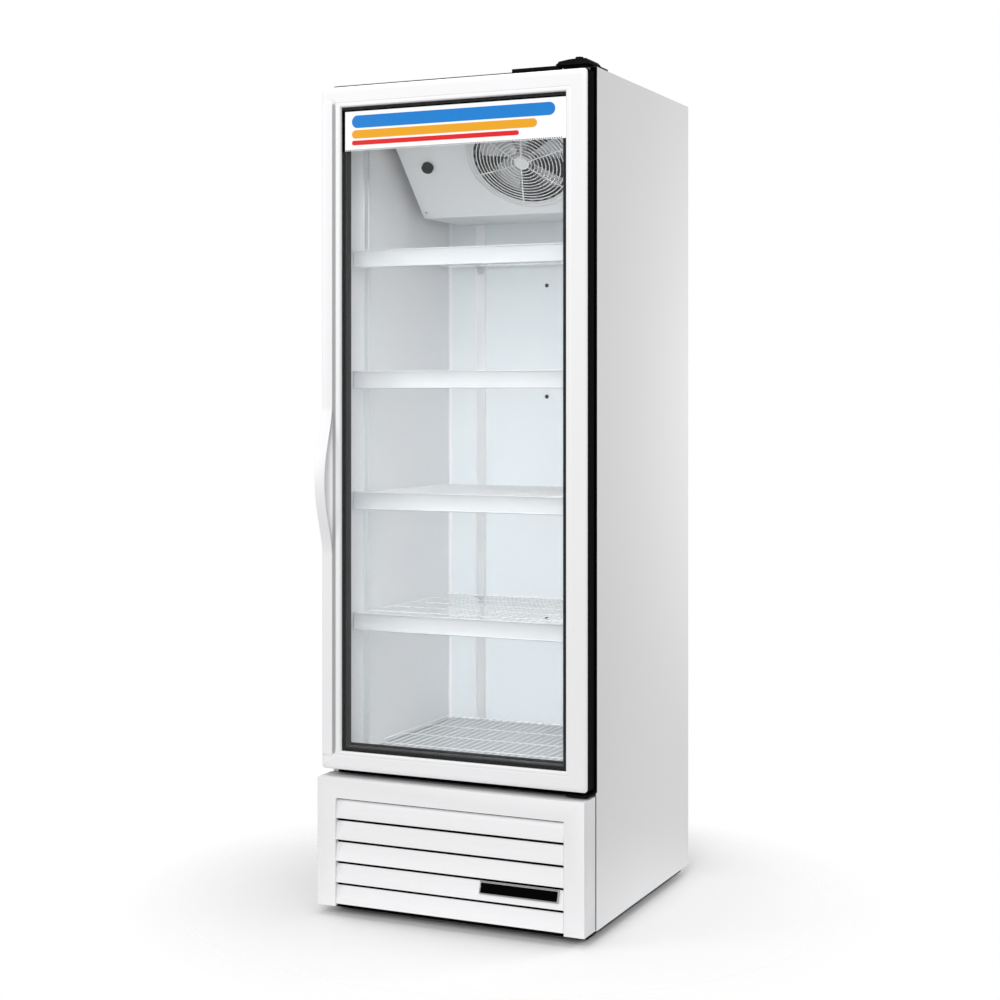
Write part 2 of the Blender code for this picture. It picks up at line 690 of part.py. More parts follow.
def build_rear_guard(shop, carrier):
    """Make the slotted sheet that closes the back of the machine compartment."""
    inner = HALF_WIDTH - SHEET - GAP
    guard = shop.piece(
        "rear_guard",
        slab((-inner, inner), (CABINET_DEPTH - SHEET, CABINET_DEPTH), (GUARD_BOTTOM, DECK_Z - SHEET - GAP)),
        "galvanised", carrier=carrier,
    )
    through = (CABINET_DEPTH - 0.01, CABINET_DEPTH + 0.01)
    slots = bmesh.new()
    for column in range(SLOT_COLUMNS):
        for row in range(SLOT_ROWS):
            left = SLOT_LEFT + SLOT_COLUMN_PITCH * column
            bottom = SLOT_BOTTOM + SLOT_ROW_PITCH * row
            add_block(slots, (left, left + SLOT_LENGTH), through, (bottom, bottom + SLOT_HEIGHT))
    shop.cut(guard, slots)


def fan_mesh(shop, name, finish, pivot, radius, hub_radius, hub_length, turn, carrier):
    """Make a five-bladed fan about its own Y axis; the hub's front face is at the pivot."""
    edge = 0.004
    profile = [(0.0, 0.0), (hub_radius - edge, 0.0), (hub_radius, edge), (hub_radius, hub_length)]
    profile.append((0.0, hub_length))
    fan = shop.piece(name, turned_mesh(profile, ORIGIN, axis="Y"), finish, smooth=35)
    pitch = Matrix.Rotation(math.radians(28), 3, "X")
    half_chord = radius * 0.26
    half_thickness = 0.001
    for index in range(FAN_BLADES):
        low = Vector((hub_radius - edge, -half_thickness, -half_chord))
        high = Vector((radius, half_thickness, half_chord))
        blade = box_mesh(low, high)
        bmesh.ops.rotate(blade, matrix=pitch, verts=blade.verts)
        bmesh.ops.translate(blade, vec=(0.0, hub_length / 2, 0.0), verts=blade.verts)
        around = Matrix.Rotation(2 * math.pi * index / FAN_BLADES, 3, "Y")
        bmesh.ops.rotate(blade, matrix=around, verts=blade.verts)
        shop.join(fan, blade)
    fan.location = pivot
    if carrier is not None:
        fan.parent = carrier
        fan.location = pivot - carrier.location
    fan.rotation_euler = turn
    return fan


def slope_point(x, inward):
    """Return a point on the fan's axis height of the slope, moved inward from its face."""
    middle_depth = (SLOPE_TOP_DEPTH + SLOPE_BOTTOM_DEPTH) / 2
    middle_z = (EVAPORATOR_TOP + EVAPORATOR_BOTTOM) / 2
    step = inward / math.sqrt(2)
    return place(x, middle_depth + step, middle_z + step)


def build_evaporator(shop):
    """Make the sloped housing under the ceiling, with its coil and all that hangs on the slope."""
    build_evaporator_housing(shop)
    coil_z = (EVAPORATOR_BOTTOM + 0.012, EVAPORATOR_TOP - 0.015)
    coil = slab((-EVAPORATOR_COIL_HALF, EVAPORATOR_COIL_HALF), EVAPORATOR_COIL_DEPTHS, coil_z)
    shop.piece("evaporator_coil", coil, "aluminium")
    fan_mesh(
        shop, "evaporator_fan_blade", "aluminium", slope_point(EVAPORATOR_FAN_X, 0.010),
        EVAPORATOR_FAN_RADIUS, 0.024, 0.028, SLOPE_TURN, None,
    )
    motor_profile = [(0.0, 0.0), (0.026, 0.0), (0.030, 0.004), (0.030, 0.038), (0.022, 0.044), (0.0, 0.044)]
    motor = shop.piece(
        "evaporator_fan_motor", turned_mesh(motor_profile, ORIGIN, axis="Y"), "black_coat", smooth=35
    )
    motor.location = slope_point(EVAPORATOR_FAN_X, 0.0390)
    motor.rotation_euler = SLOPE_TURN
    build_fan_guard(shop)
    build_knob(shop)


def build_evaporator_housing(shop):
    """Fold the housing of thin sheet, open at the top, with a round throat for the fan in its slope."""
    skin = 0.0016
    beyond = 0.01
    reach = ROOM_BACK - GAP
    half = COIL_HOUSING_HALF_WIDTH
    outline = [(SLOPE_TOP_DEPTH, EVAPORATOR_TOP), (SLOPE_BOTTOM_DEPTH, EVAPORATOR_BOTTOM)]
    outline += [(reach, EVAPORATOR_BOTTOM), (reach, EVAPORATOR_TOP)]
    housing = shop.piece("evaporator_housing", prism_along_x(outline, -half, half), "white_coat")
    slope_skin = skin * math.sqrt(2)
    low = EVAPORATOR_BOTTOM + skin
    inside = [(SLOPE_TOP_DEPTH + slope_skin - beyond, EVAPORATOR_TOP + beyond)]
    inside += [(SLOPE_BOTTOM_DEPTH + slope_skin - skin, low), (reach - skin, low)]
    inside += [(reach - skin, EVAPORATOR_TOP + beyond)]
    shop.cut(housing, prism_along_x(inside, skin - half, half - skin))
    throat = rod_mesh(EVAPORATOR_FAN_RADIUS + 0.008, Vector((0, -0.02, 0)), 0.05, axis="Y", sides=32)
    bmesh.ops.rotate(throat, matrix=Matrix.Rotation(SLOPE_TURN[0], 3, "X"), verts=throat.verts)
    bmesh.ops.translate(throat, vec=slope_point(EVAPORATOR_FAN_X, 0.0), verts=throat.verts)
    shop.cut(housing, throat)


def build_knob(shop):
    """Make the thermostat's knob, with a raised pointer across its front face."""
    profile = [(0.0, 0.0), (0.013, 0.0), (KNOB_RADIUS, 0.003), (KNOB_RADIUS, KNOB_HEIGHT), (0.0, KNOB_HEIGHT)]
    knob = shop.piece(
        "thermostat_knob", turned_mesh(profile, ORIGIN, axis="Y"), "black_plastic", smooth=35
    )
    pointer_half, pointer_rise, pointer_reach = 0.002, 0.003, 0.012
    low = Vector((-pointer_half, -pointer_rise, 0.0))
    high = Vector((pointer_half, pointer_half, pointer_reach))
    shop.join(knob, box_mesh(low, high))
    knob.location = slope_point(KNOB_X, -KNOB_HEIGHT - GAP)
    knob.rotation_euler = SLOPE_TURN


def build_fan_guard(shop):
    """Make the round guard in front of the evaporator's fan: rings on crossed spokes."""
    wire = 0.0035
    inset = 0.0005
    spoke_half = GUARD_RADIUS - 0.002
    guard = shop.piece(
        "evaporator_fan_guard", ring_mesh(GUARD_RADIUS, GUARD_RADIUS - wire, wire, ORIGIN, 32), "wire_coat"
    )
    for radius in (0.105, 0.068):
        shop.join(guard, ring_mesh(radius, radius - wire, wire, ORIGIN, 32))
    shop.join(guard, rod_mesh(0.030, ORIGIN, wire, axis="Y", sides=24))
    for index in range(3):
        low = Vector((-spoke_half, inset, -wire / 2))
        high = Vector((spoke_half, wire - inset, wire / 2))
        spoke = box_mesh(low, high)
        turned = Matrix.Rotation(math.radians(15 + 60 * index), 3, "Y")
        bmesh.ops.rotate(spoke, matrix=turned, verts=spoke.verts)
        shop.join(guard, spoke)
    guard.location = slope_point(EVAPORATOR_FAN_X, -wire - GAP)
    guard.rotation_euler = SLOPE_TURN


def build_light(shop):
    """Make the tall light strip on the left wall, just behind the doorway."""
    near = GAP - ROOM_HALF_WIDTH
    front, back = LIGHT_DEPTHS
    shoulder = near + 0.003
    crown = near + 0.005
    chamfer = 0.002
    outline = [(near, front), (near, back), (shoulder, back), (crown, back - chamfer)]
    outline += [(crown, front + chamfer), (shoulder, front)]
    shop.piece("led_light", prism_along_z(outline, *LIGHT_HEIGHTS), "light_lens")


def pilaster_section():
    """List a pilaster's section as (across, height off the wall) points: a shallow channel."""
    half = PILASTER_WIDTH / 2
    lip = half - PILASTER_EDGE
    floor = PILASTER_THICKNESS - PILASTER_GROOVE
    section = [(-half, 0.0), (-half, PILASTER_THICKNESS), (-lip, PILASTER_THICKNESS), (-lip, floor)]
    section += [(lip, floor), (lip, PILASTER_THICKNESS), (half, PILASTER_THICKNESS), (half, 0.0)]
    return section


def build_shelving(shop):
    """Make the pilasters, the wire shelves and their price rails."""
    bottom = ROOM_FLOOR + GAP
    for side, sign in (("left", -1), ("right", 1)):
        wall = ROOM_HALF_WIDTH - GAP
        on_side = []
        for across, lift in pilaster_section():
            on_side.append((sign * (wall - lift), PILASTER_FRONT_DEPTH + across))
        front = prism_along_z(on_side, bottom, PILASTER_FRONT_TOP)
        shop.piece(f"pilaster_front_{side}", front, "galvanised")
        back = ROOM_BACK - GAP
        on_back = [(sign * PILASTER_REAR_X + across, back - lift) for across, lift in pilaster_section()]
        rear = prism_along_z(on_back, bottom, EVAPORATOR_BOTTOM - 0.002)
        shop.piece(f"pilaster_rear_{side}", rear, "galvanised")
    for index in range(SHELF_COUNT):
        build_shelf(shop, index + 1, SHELF_TOP_LEVEL - SHELF_PITCH * index)


def build_shelf(shop, number, level):
    """Make one shelf, a grid of wires, and the rail along its front."""
    top = level - RAIL_STAND
    pivot = place(0.0, SHELF_FRONT, top)
    span_z = (top - SHELF_WIRE, top)
    grid = slab((-SHELF_HALF_WIDTH, SHELF_HALF_WIDTH), (SHELF_FRONT, SHELF_BACK), span_z)
    shelf = shop.piece(f"wire_shelf_{number}", grid, "wire_coat", pivot=pivot)
    through = (top - 2 * SHELF_WIRE, top + SHELF_WIRE)
    openings = bmesh.new()
    cell_x = (2 * SHELF_HALF_WIDTH - SHELF_WIRE) / SHELF_GRID_COLUMNS
    cell_y = (SHELF_BACK - SHELF_FRONT - SHELF_WIRE) / SHELF_GRID_ROWS
    for column in range(SHELF_GRID_COLUMNS):
        for row in range(SHELF_GRID_ROWS):
            left = -SHELF_HALF_WIDTH + SHELF_WIRE + cell_x * column
            front = SHELF_FRONT + SHELF_WIRE + cell_y * row
            across = (left, left + cell_x - SHELF_WIRE)
            add_block(openings, across, (front, front + cell_y - SHELF_WIRE), through)
    shop.cut(shelf, openings, pivot)
    build_price_rail(shop, number, level, pivot)


def build_price_rail(shop, number, level, pivot):
    """Make the rail on a shelf's front edge, whose two lips hold a price strip between them."""
    back = SHELF_FRONT - GAP
    front = back - RAIL_THICKNESS
    groove = front + 0.002
    bottom = level - RAIL_HEIGHT
    outline = [(back, level), (front + 0.0015, level), (front, level - 0.002), (front, level - 0.006)]
    outline += [(groove, level - 0.008), (groove, bottom + 0.006), (front, bottom + 0.004)]
    outline += [(front, bottom + 0.001), (front + 0.001, bottom), (back, bottom)]
    half = SHELF_HALF_WIDTH - 0.001
    shop.piece(f"price_rail_{number}", prism_along_x(outline, -half, half), "rail_plastic", pivot=pivot)


def bezel_corner(x_sign, at_top, share, depth):
    """Return a point on the line from a door corner (share 0) to the opening's corner (share 1)."""
    outer_z = DOOR_TOP if at_top else DOOR_BOTTOM
    inner_z = OPENING_TOP if at_top else OPENING_BOTTOM
    x = DOOR_HALF_WIDTH + (OPENING_HALF_WIDTH - DOOR_HALF_WIDTH) * share
    return place(x_sign * x, depth, outer_z + (inner_z - outer_z) * share)


def bezel_profile(recessed):
    """List a bezel member's section as (share of its width, depth) points, from its rear edge."""
    front = DOOR_FRONT
    step = GLASS_FRONT - GAP
    section = [(0.0, BEZEL_BACK), (0.0, front + 0.0070), (0.03, front + 0.0042), (0.10, front + 0.0018)]
    if recessed:
        pocket = front + HANDLE_BAND + GAP
        section = section[:2] + [(0.03, front + 0.0050), (0.06, pocket), (0.62, pocket), (0.66, front)]
    else:
        section += [(0.20, front + 0.0004), (0.30, front), (0.66, front)]
    section += [(0.72, front), (0.76, front + 0.0012), (0.80, front), (0.92, front), (1.0, front + 0.004)]
    section += [(1.0, step), (0.72, step), (0.72, BEZEL_BACK)]
    return section


def build_bezel(shop, carrier, pivot):
    """Make the four mitred members of the door's front frame."""
    members = {
        "door_stile_handle_side": (True, (-1, False), (-1, True), Vector((0, 0, 1))),
        "door_stile_hinge_side": (False, (1, False), (1, True), Vector((0, 0, 1))),
        "door_rail_bottom": (False, (-1, False), (1, False), Vector((1, 0, 0))),
        "door_rail_top": (False, (-1, True), (1, True), Vector((1, 0, 0))),
    }
    for name, (recessed, start, end, along) in members.items():
        section = bezel_profile(recessed)
        near = [bezel_corner(*start, share, depth) + along * GAP for share, depth in section]
        far = [bezel_corner(*end, share, depth) - along * GAP for share, depth in section]
        shape = prism_mesh(near, far)
        shop.piece(name, shape, "white_coat", pivot=pivot, carrier=carrier, smooth=35)


def build_door(shop):
    """Make the door: bezel, inner frame, two panes, gasket, sign panel and handle."""
    pivot = place(HINGE_X, HINGE_DEPTH, 0.0)
    carrier = shop.axis_empty("door_hinge_axis", pivot)
    build_bezel(shop, carrier, pivot)
    build_inner_frame(shop, carrier, pivot)
    outer_half, outer_z = OUTER_PANE
    front_glass = slab((-outer_half, outer_half), (GLASS_FRONT, GLASS_BACK), outer_z)
    shop.piece("glass_outer", front_glass, "clear_glass", pivot=pivot, carrier=carrier)
    rear_half, rear_z = REAR_PANE
    back_glass = slab((-rear_half, rear_half), REAR_PANE_DEPTHS, rear_z)
    shop.piece("glass_inner", back_glass, "clear_glass", pivot=pivot, carrier=carrier)
    build_gasket(shop, carrier, pivot)
    sign_depth = (GLASS_FRONT - GAP - SIGN_THICKNESS, GLASS_FRONT - GAP)
    sign = slab((-SIGN_HALF_WIDTH, SIGN_HALF_WIDTH), sign_depth, SIGN_HEIGHTS)
    shop.piece("sign_panel", sign, "sign_white", pivot=pivot, carrier=carrier)
    build_handle(shop, carrier, pivot)


def build_inner_frame(shop, carrier, pivot):
    """Make the black frame that holds both panes and takes the hinge pins."""
    outer = DOOR_HALF_WIDTH - DOOR_FRAME_INSET
    frame = shop.piece(
        "door_inner_frame",
        slab(
            (-outer, outer), (BEZEL_BACK + GAP, DOOR_FRAME_BACK),
            (DOOR_BOTTOM + DOOR_FRAME_INSET, DOOR_TOP - DOOR_FRAME_INSET),
        ),
        "black_plastic", pivot=pivot, carrier=carrier,
    )
    sight = OPENING_HALF_WIDTH - SIGHT_EDGE
    sight_z = (OPENING_BOTTOM + 0.0055, OPENING_TOP - 0.0055)
    shop.cut(frame, slab((-sight, sight), (-0.1, 0.1), sight_z), pivot)
    for (half, z_range), depths in (
        (OUTER_PANE, (-0.1, GLASS_BACK + GAP)),
        (REAR_PANE, (REAR_PANE_DEPTHS[0] - GAP, 0.1)),
    ):
        shop.cut(frame, slab((-half - GAP, half + GAP), depths, (z_range[0] - GAP, z_range[1] + GAP)), pivot)
    bore_length = 0.036
    for bottom in (DOOR_BOTTOM - 0.01, DOOR_TOP - 0.024):
        start = place(HINGE_X, HINGE_DEPTH, bottom)
        bore = rod_mesh(PIN_RADIUS + PIN_CLEARANCE, start, bore_length, sides=SMALL_CIRCLE_SIDES)
        shop.cut(frame, bore, pivot)


def build_gasket(shop, carrier, pivot):
    """Make the ring of rubber that closes on the frame round the doorway."""
    width = 0.012
    outer = 0.3275
    bottom, top = 0.3530, 1.9592
    depths = (DOOR_FRAME_BACK + GAP, -GAP)
    seal = shop.piece(
        "door_gasket", slab((-outer, outer), depths, (bottom, top)), "gasket_rubber", pivot=pivot,
        carrier=carrier,
    )
    inner = outer - width
    shop.cut(seal, slab((-inner, inner), (-0.1, 0.1), (bottom + width, top - width)), pivot)


def build_handle(shop, carrier, pivot):
    """Make the handle, a band down the whole stile that bows forward at hand height."""
    bow_start = BOW_CENTRE_Z - BOW_LENGTH / 2
    steps = 20
    heights = [HANDLE_BOTTOM] + [bow_start + BOW_LENGTH * step / steps for step in range(steps + 1)]
    heights.append(HANDLE_TOP)
    front = []
    back = []
    for height in heights:
        offset = (height - BOW_CENTRE_Z) / BOW_LENGTH
        rise = math.cos(math.pi * offset) ** 1.5 if abs(offset) < 0.5 else 0.0
        depth = DOOR_FRONT - BOW_HEIGHT * rise
        front.append((depth, height))
        back.append((depth + HANDLE_BAND, height))
    shape = prism_along_x(front + back[::-1], HANDLE_LEFT, HANDLE_RIGHT)
    shop.piece("door_handle", shape, "white_coat", pivot=pivot, carrier=carrier, smooth=35)


def build_hinges(shop):
    """Make the two fixed hinge brackets, each with the pin that the door turns on."""
    build_top_hinge(shop)
    build_bottom_hinge(shop)


def build_top_hinge(shop):
    """Make the plate on the cabinet's top, its cap, the closer's bar, the upper pin and a nut."""
    left, right = 0.262, 0.3425
    foot = CABINET_TOP + GAP
    plate_top = foot + 0.004
    crown = foot + 0.013
    plate = slab((left, right), (-0.048, 0.075), (foot, plate_top))
    top = shop.piece("top_hinge", plate, "black_coat", smooth=35)
    outline = [(left + 0.001, foot + 0.001), (left + 0.006, crown - 0.004), (left + 0.035, crown)]
    outline += [(right - 0.008, crown), (right - 0.001, crown - 0.007), (right - 0.001, foot + 0.001)]
    cap_front, cap_back = -0.047, 0.030
    near = [place(x, cap_front, z) for x, z in outline]
    far = [place(x, cap_back, z) for x, z in outline]
    shop.join(top, prism_mesh(near, far))
    bar = slab((CLOSER_BAR_LEFT, left + 0.002), (-0.030, -0.012), (DOOR_TOP + 0.0025, plate_top - 0.0005))
    shop.join(top, bar)
    pin_bottom = DOOR_TOP - 0.020
    pin_length = plate_top - 0.001 - pin_bottom
    pin_start = place(HINGE_X, HINGE_DEPTH, pin_bottom)
    shop.join(top, rod_mesh(PIN_RADIUS, pin_start, pin_length, sides=SMALL_CIRCLE_SIDES))
    nut_start = place(HINGE_X - 0.012, HINGE_DEPTH, crown - 0.001)
    shop.join(top, rod_mesh(0.010, nut_start, 0.006, sides=6))


def build_bottom_hinge(shop):
    """Make the bracket under the door, its mounting flange and the lower pin."""
    across = (0.285, 0.3415)
    plate_z = (0.3350, 0.3400)
    back = -2 * GAP
    low = shop.piece("bottom_hinge", slab(across, (-0.049, back), plate_z), "black_coat", smooth=35)
    pin_start = place(HINGE_X, HINGE_DEPTH, plate_z[1] - 0.001)
    shop.join(low, rod_mesh(PIN_RADIUS, pin_start, 0.030, sides=SMALL_CIRCLE_SIDES))
    shop.join(low, slab(across, (-0.0045, back), (plate_z[0] - 0.003, plate_z[1] + 0.005)))


def main():
    """Build the whole merchandiser."""
    clear_scene()
    shop = Workshop(make_materials())
    build_side_panels(shop)
    build_outer_sheets(shop)
    build_insulation(shop)
    build_liner(shop)
    build_front_frame(shop)
    build_base(shop)
    build_grille(shop)
    build_condensing_unit(shop, shop.axis_empty("condensing_unit_slide_axis", place(0.0, 0.0, TRAY_Z)))
    build_evaporator(shop)
    build_light(shop)
    build_shelving(shop)
    build_door(shop)
    build_hinges(shop)


main()
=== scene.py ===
"""Glass door merchandiser: an upright display cabinet with one glass door, finished for looks.

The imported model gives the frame, and every place is read from the boxes of its nodes.
Units are metres and +Z is up.  The door faces -Y, and +X is to the right of a person who
looks at it.  A "depth" is the distance behind the front edge of the cabinet's sides.
"""

import logging
import math
from collections.abc import Iterable, Sequence
from dataclasses import dataclass, field
from enum import Enum

import bmesh
import bpy
import numpy as np
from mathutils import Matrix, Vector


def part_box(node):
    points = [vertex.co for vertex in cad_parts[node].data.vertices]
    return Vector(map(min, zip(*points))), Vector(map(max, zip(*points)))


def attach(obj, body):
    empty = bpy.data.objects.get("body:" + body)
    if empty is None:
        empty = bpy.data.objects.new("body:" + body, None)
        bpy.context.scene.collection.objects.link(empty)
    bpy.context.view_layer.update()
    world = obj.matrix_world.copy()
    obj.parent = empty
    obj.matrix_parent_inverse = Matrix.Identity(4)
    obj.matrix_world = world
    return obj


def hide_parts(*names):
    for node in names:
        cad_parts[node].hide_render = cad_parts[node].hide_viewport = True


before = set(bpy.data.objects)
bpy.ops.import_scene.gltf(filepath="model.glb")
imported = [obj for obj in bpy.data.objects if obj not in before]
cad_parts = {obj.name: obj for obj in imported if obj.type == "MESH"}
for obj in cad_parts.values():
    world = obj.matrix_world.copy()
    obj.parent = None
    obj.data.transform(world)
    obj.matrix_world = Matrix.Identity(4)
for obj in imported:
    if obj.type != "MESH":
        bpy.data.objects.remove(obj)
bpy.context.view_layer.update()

LOG = logging.getLogger("merchandiser")
Array = np.ndarray
X_AXIS = np.array([1.0, 0.0, 0.0])
Y_AXIS = np.array([0.0, 1.0, 0.0])
Z_AXIS = np.array([0.0, 0.0, 1.0])
DIAGONAL = math.sqrt(0.5)
WELD = 2e-6
HAIRLINE = 0.0003


class Slot(Enum):
    """The record's material slots."""

    WHITE_COAT = "white_coat"
    LINER_WHITE = "liner_white"
    STAINLESS = "stainless"
    FOAM = "foam"
    BLACK_COAT = "black_coat"
    BLACK_PLASTIC = "black_plastic"
    GASKET_RUBBER = "gasket_rubber"
    CLEAR_GLASS = "clear_glass"
    SIGN_WHITE = "sign_white"
    WIRE_COAT = "wire_coat"
    RAIL_PLASTIC = "rail_plastic"
    GALVANISED = "galvanised"
    ALUMINIUM = "aluminium"
    COPPER = "copper"
    LIGHT_LENS = "light_lens"


# ---------------------------------------------------------------- finishes


class NodeGraph:
    """One material's nodes, built in the words of the finishes below."""

    def __init__(self, name: str) -> None:
        """Start a material with its Principled shader.

        Args:
            name: the material's name.
        """
        self.material = bpy.data.materials.new(name)
        self.material.use_nodes = True
        self.tree = self.material.node_tree
        self.shader = self.tree.nodes["Principled BSDF"]
        self.output = self.tree.nodes["Material Output"]
        self.place = self.tree.nodes.new("ShaderNodeTexCoord").outputs["Object"]

    def constant(self, **values: float | tuple) -> None:
        """Set the shader's own sockets, named with underscores for spaces."""
        for socket, value in values.items():
            self.shader.inputs[socket.replace("_", " ")].default_value = value

    def stretched(self, scale: Sequence[float]) -> bpy.types.NodeSocket:
        """Return the place on the object, scaled along each axis."""
        node = self.tree.nodes.new("ShaderNodeMapping")
        node.inputs["Scale"].default_value = scale
        self.tree.links.new(self.place, node.inputs["Vector"])
        return node.outputs["Vector"]

    def noise(self, scale: float | Sequence[float], detail: float = 2.0) -> bpy.types.NodeSocket:
        """Return a cloudy value from 0 to 1.

        Args:
            scale: clouds per metre, one number or one for each axis.
            detail: how many finer layers are added.

        Returns:
            The value's socket.
        """
        node = self.tree.nodes.new("ShaderNodeTexNoise")
        node.inputs["Detail"].default_value = detail
        node.inputs["Scale"].default_value = scale if isinstance(scale, float) else 1.0
        where = self.place if isinstance(scale, float) else self.stretched(scale)
        self.tree.links.new(where, node.inputs["Vector"])
        return node.outputs["Fac"]

    def cells(self, scale: float, output: str = "Distance") -> bpy.types.NodeSocket:
        """Return the distance, or another output, of a pattern of so many cells per metre."""
        node = self.tree.nodes.new("ShaderNodeTexVoronoi")
        node.inputs["Scale"].default_value = scale
        self.tree.links.new(self.place, node.inputs["Vector"])
        return node.outputs[output]

    def spangle(self, scale: float) -> bpy.types.NodeSocket:
        """Return one random grey for each cell of a pattern."""
        grey = self.tree.nodes.new("ShaderNodeRGBToBW")
        self.tree.links.new(self.cells(scale, "Color"), grey.inputs["Color"])
        return grey.outputs["Val"]

    def along(self, axis: str) -> bpy.types.NodeSocket:
        """Return one coordinate of the place on the object, in metres."""
        node = self.tree.nodes.new("ShaderNodeSeparateXYZ")
        self.tree.links.new(self.place, node.inputs["Vector"])
        return node.outputs[axis]

    def math(self, operation: str, first: bpy.types.NodeSocket, second: float) -> bpy.types.NodeSocket:
        """Return a sum, product or other function of a value and a number."""
        node = self.tree.nodes.new("ShaderNodeMath")
        node.operation = operation
        node.inputs[1].default_value = second
        self.tree.links.new(first, node.inputs[0])
        return node.outputs[0]

    def span(self, value: bpy.types.NodeSocket, source: tuple, target: tuple) -> bpy.types.NodeSocket:
        """Carry a value from one range to another, clamped at its ends."""
        node = self.tree.nodes.new("ShaderNodeMapRange")
        for socket, number in zip(("From Min", "From Max", "To Min", "To Max"), source + target):
            node.inputs[socket].default_value = number
        self.tree.links.new(value, node.inputs["Value"])
        return node.outputs["Result"]

    def tint(
        self, factor: bpy.types.NodeSocket, first: Sequence[float], second: Sequence[float],
        socket: str = "Base Color",
    ) -> None:
        """Colour one of the shader's sockets between two colours."""
        node = self.tree.nodes.new("ShaderNodeMix")
        node.data_type = "RGBA"
        node.inputs[6].default_value = (*first, 1.0)
        node.inputs[7].default_value = (*second, 1.0)
        self.tree.links.new(factor, node.inputs["Factor"])
        self.tree.links.new(node.outputs[2], self.shader.inputs[socket])

    def fade(self, factor: bpy.types.NodeSocket, color: Sequence[float] = (1.0, 1.0, 1.0)) -> None:
        """Fade the shader into a clear one of a colour, as the factor goes from 0 to 1."""
        clear = self.tree.nodes.new("ShaderNodeBsdfTransparent")
        clear.inputs["Color"].default_value = (*color, 1.0)
        mix = self.tree.nodes.new("ShaderNodeMixShader")
        self.tree.links.new(factor, mix.inputs["Fac"])
        self.tree.links.new(self.shader.outputs["BSDF"], mix.inputs[1])
        self.tree.links.new(clear.outputs["BSDF"], mix.inputs[2])
        self.tree.links.new(mix.outputs["Shader"], self.output.inputs["Surface"])

    def relief(self, height: bpy.types.NodeSocket, depth: float) -> None:
        """Let a value raise the surface by a depth in metres."""
        node = self.tree.nodes.new("ShaderNodeBump")
        node.inputs["Distance"].default_value = depth
        self.tree.links.new(height, node.inputs["Height"])
        self.tree.links.new(node.outputs["Normal"], self.shader.inputs["Normal"])


def shaded(color: Sequence[float], share: float) -> tuple[float, ...]:
    """Return a colour made lighter or darker by a share."""
    return tuple(min(1.0, part * share) for part in color)


@dataclass(frozen=True)
class Finish:
    """A surface finish: its slot, colour and gloss.  Each kind of finish varies them its own way."""

    name: str
    slot: Slot
    color: tuple[float, float, float]
    roughness: float = 0.4
    specular: float = field(default=0.5, kw_only=True)

    def material(self) -> bpy.types.Material:
        """Return the finish's material, made the first time it is asked for."""
        found = bpy.data.materials.get(self.name)
        if found is not None:
            return found
        graph = NodeGraph(self.name)
        graph.constant(
            Base_Color=(*self.color, 1.0), Roughness=self.roughness, Specular_IOR_Level=self.specular,
        )
        self.dress(graph)
        return graph.material

    def vary_color(self, graph: NodeGraph, factor: bpy.types.NodeSocket, share: float) -> None:
        """Let a value darken and lighten the colour by a share."""
        graph.tint(factor, shaded(self.color, 1 - share), shaded(self.color, 1 + share))

    def vary_gloss(
        self, graph: NodeGraph, factor: bpy.types.NodeSocket, less: float, more: float,
        source: tuple[float, float] = (0.3, 0.7),
    ) -> None:
        """Let a value, as it crosses a range, take the roughness from less to more than the finish's."""
        roughness = graph.span(factor, source, (self.roughness - less, self.roughness + more))
        graph.tree.links.new(roughness, graph.shader.inputs["Roughness"])

    def dress(self, graph: NodeGraph) -> None:
        """Add the nodes of this kind of finish."""


@dataclass(frozen=True)
class PowderCoat(Finish):
    """Baked paint: a fine orange peel and a faint mottling."""

    peel: float = 620.0
    depth: float = 0.00002
    mottling: float = 0.015

    def dress(self, graph: NodeGraph) -> None:
        """Mottle the colour, and raise the peel."""
        self.vary_color(graph, graph.noise(2.5), self.mottling)
        peel = graph.noise(self.peel)
        self.vary_gloss(graph, peel, 0.05, 0.05)
        graph.relief(peel, self.depth)


@dataclass(frozen=True)
class DrawnMetal(Finish):
    """Rolled or brushed metal: streaks that run along the axis with the smallest number."""

    grain: tuple[float, float, float] = (6.0, 900.0, 900.0)
    contrast: float = 0.10

    def dress(self, graph: NodeGraph) -> None:
        """Streak the colour and the gloss along the grain."""
        graph.constant(Metallic=1.0)
        streak = graph.noise(self.grain, 4.0)
        self.vary_color(graph, streak, self.contrast)
        self.vary_gloss(graph, streak, 0.06, 0.10)
        graph.relief(streak, 0.00001)


@dataclass(frozen=True)
class ZincCoat(Finish):
    """Galvanised sheet: zinc crystals, each with its own grey and gloss."""

    crystals: float = 75.0

    def dress(self, graph: NodeGraph) -> None:
        """Give each crystal its grey and its gloss."""
        graph.constant(Metallic=1.0)
        crystal = graph.spangle(self.crystals)
        graph.tint(crystal, shaded(self.color, 0.86), shaded(self.color, 1.10))
        self.vary_gloss(graph, crystal, 0.08, 0.10, (0.0, 1.0))
        graph.relief(graph.noise(180.0), 0.00002)


@dataclass(frozen=True)
class MouldedPlastic(Finish):
    """Moulded or extruded plastic: a fine spark texture under a soft gloss."""

    texture: float = 900.0
    depth: float = 0.00002
    contrast: float = 0.06

    def dress(self, graph: NodeGraph) -> None:
        """Vary the gloss, and raise the texture."""
        self.vary_color(graph, graph.noise(5.0), self.contrast)
        grain = graph.noise(self.texture, 3.0)
        self.vary_gloss(graph, grain, 0.05, 0.08)
        graph.relief(grain, self.depth)


@dataclass(frozen=True)
class GlossFilm(MouldedPlastic):
    """Printed film or gloss plastic: an even colour, and a texture too fine to see."""

    depth: float = 0.000004
    contrast: float = 0.03


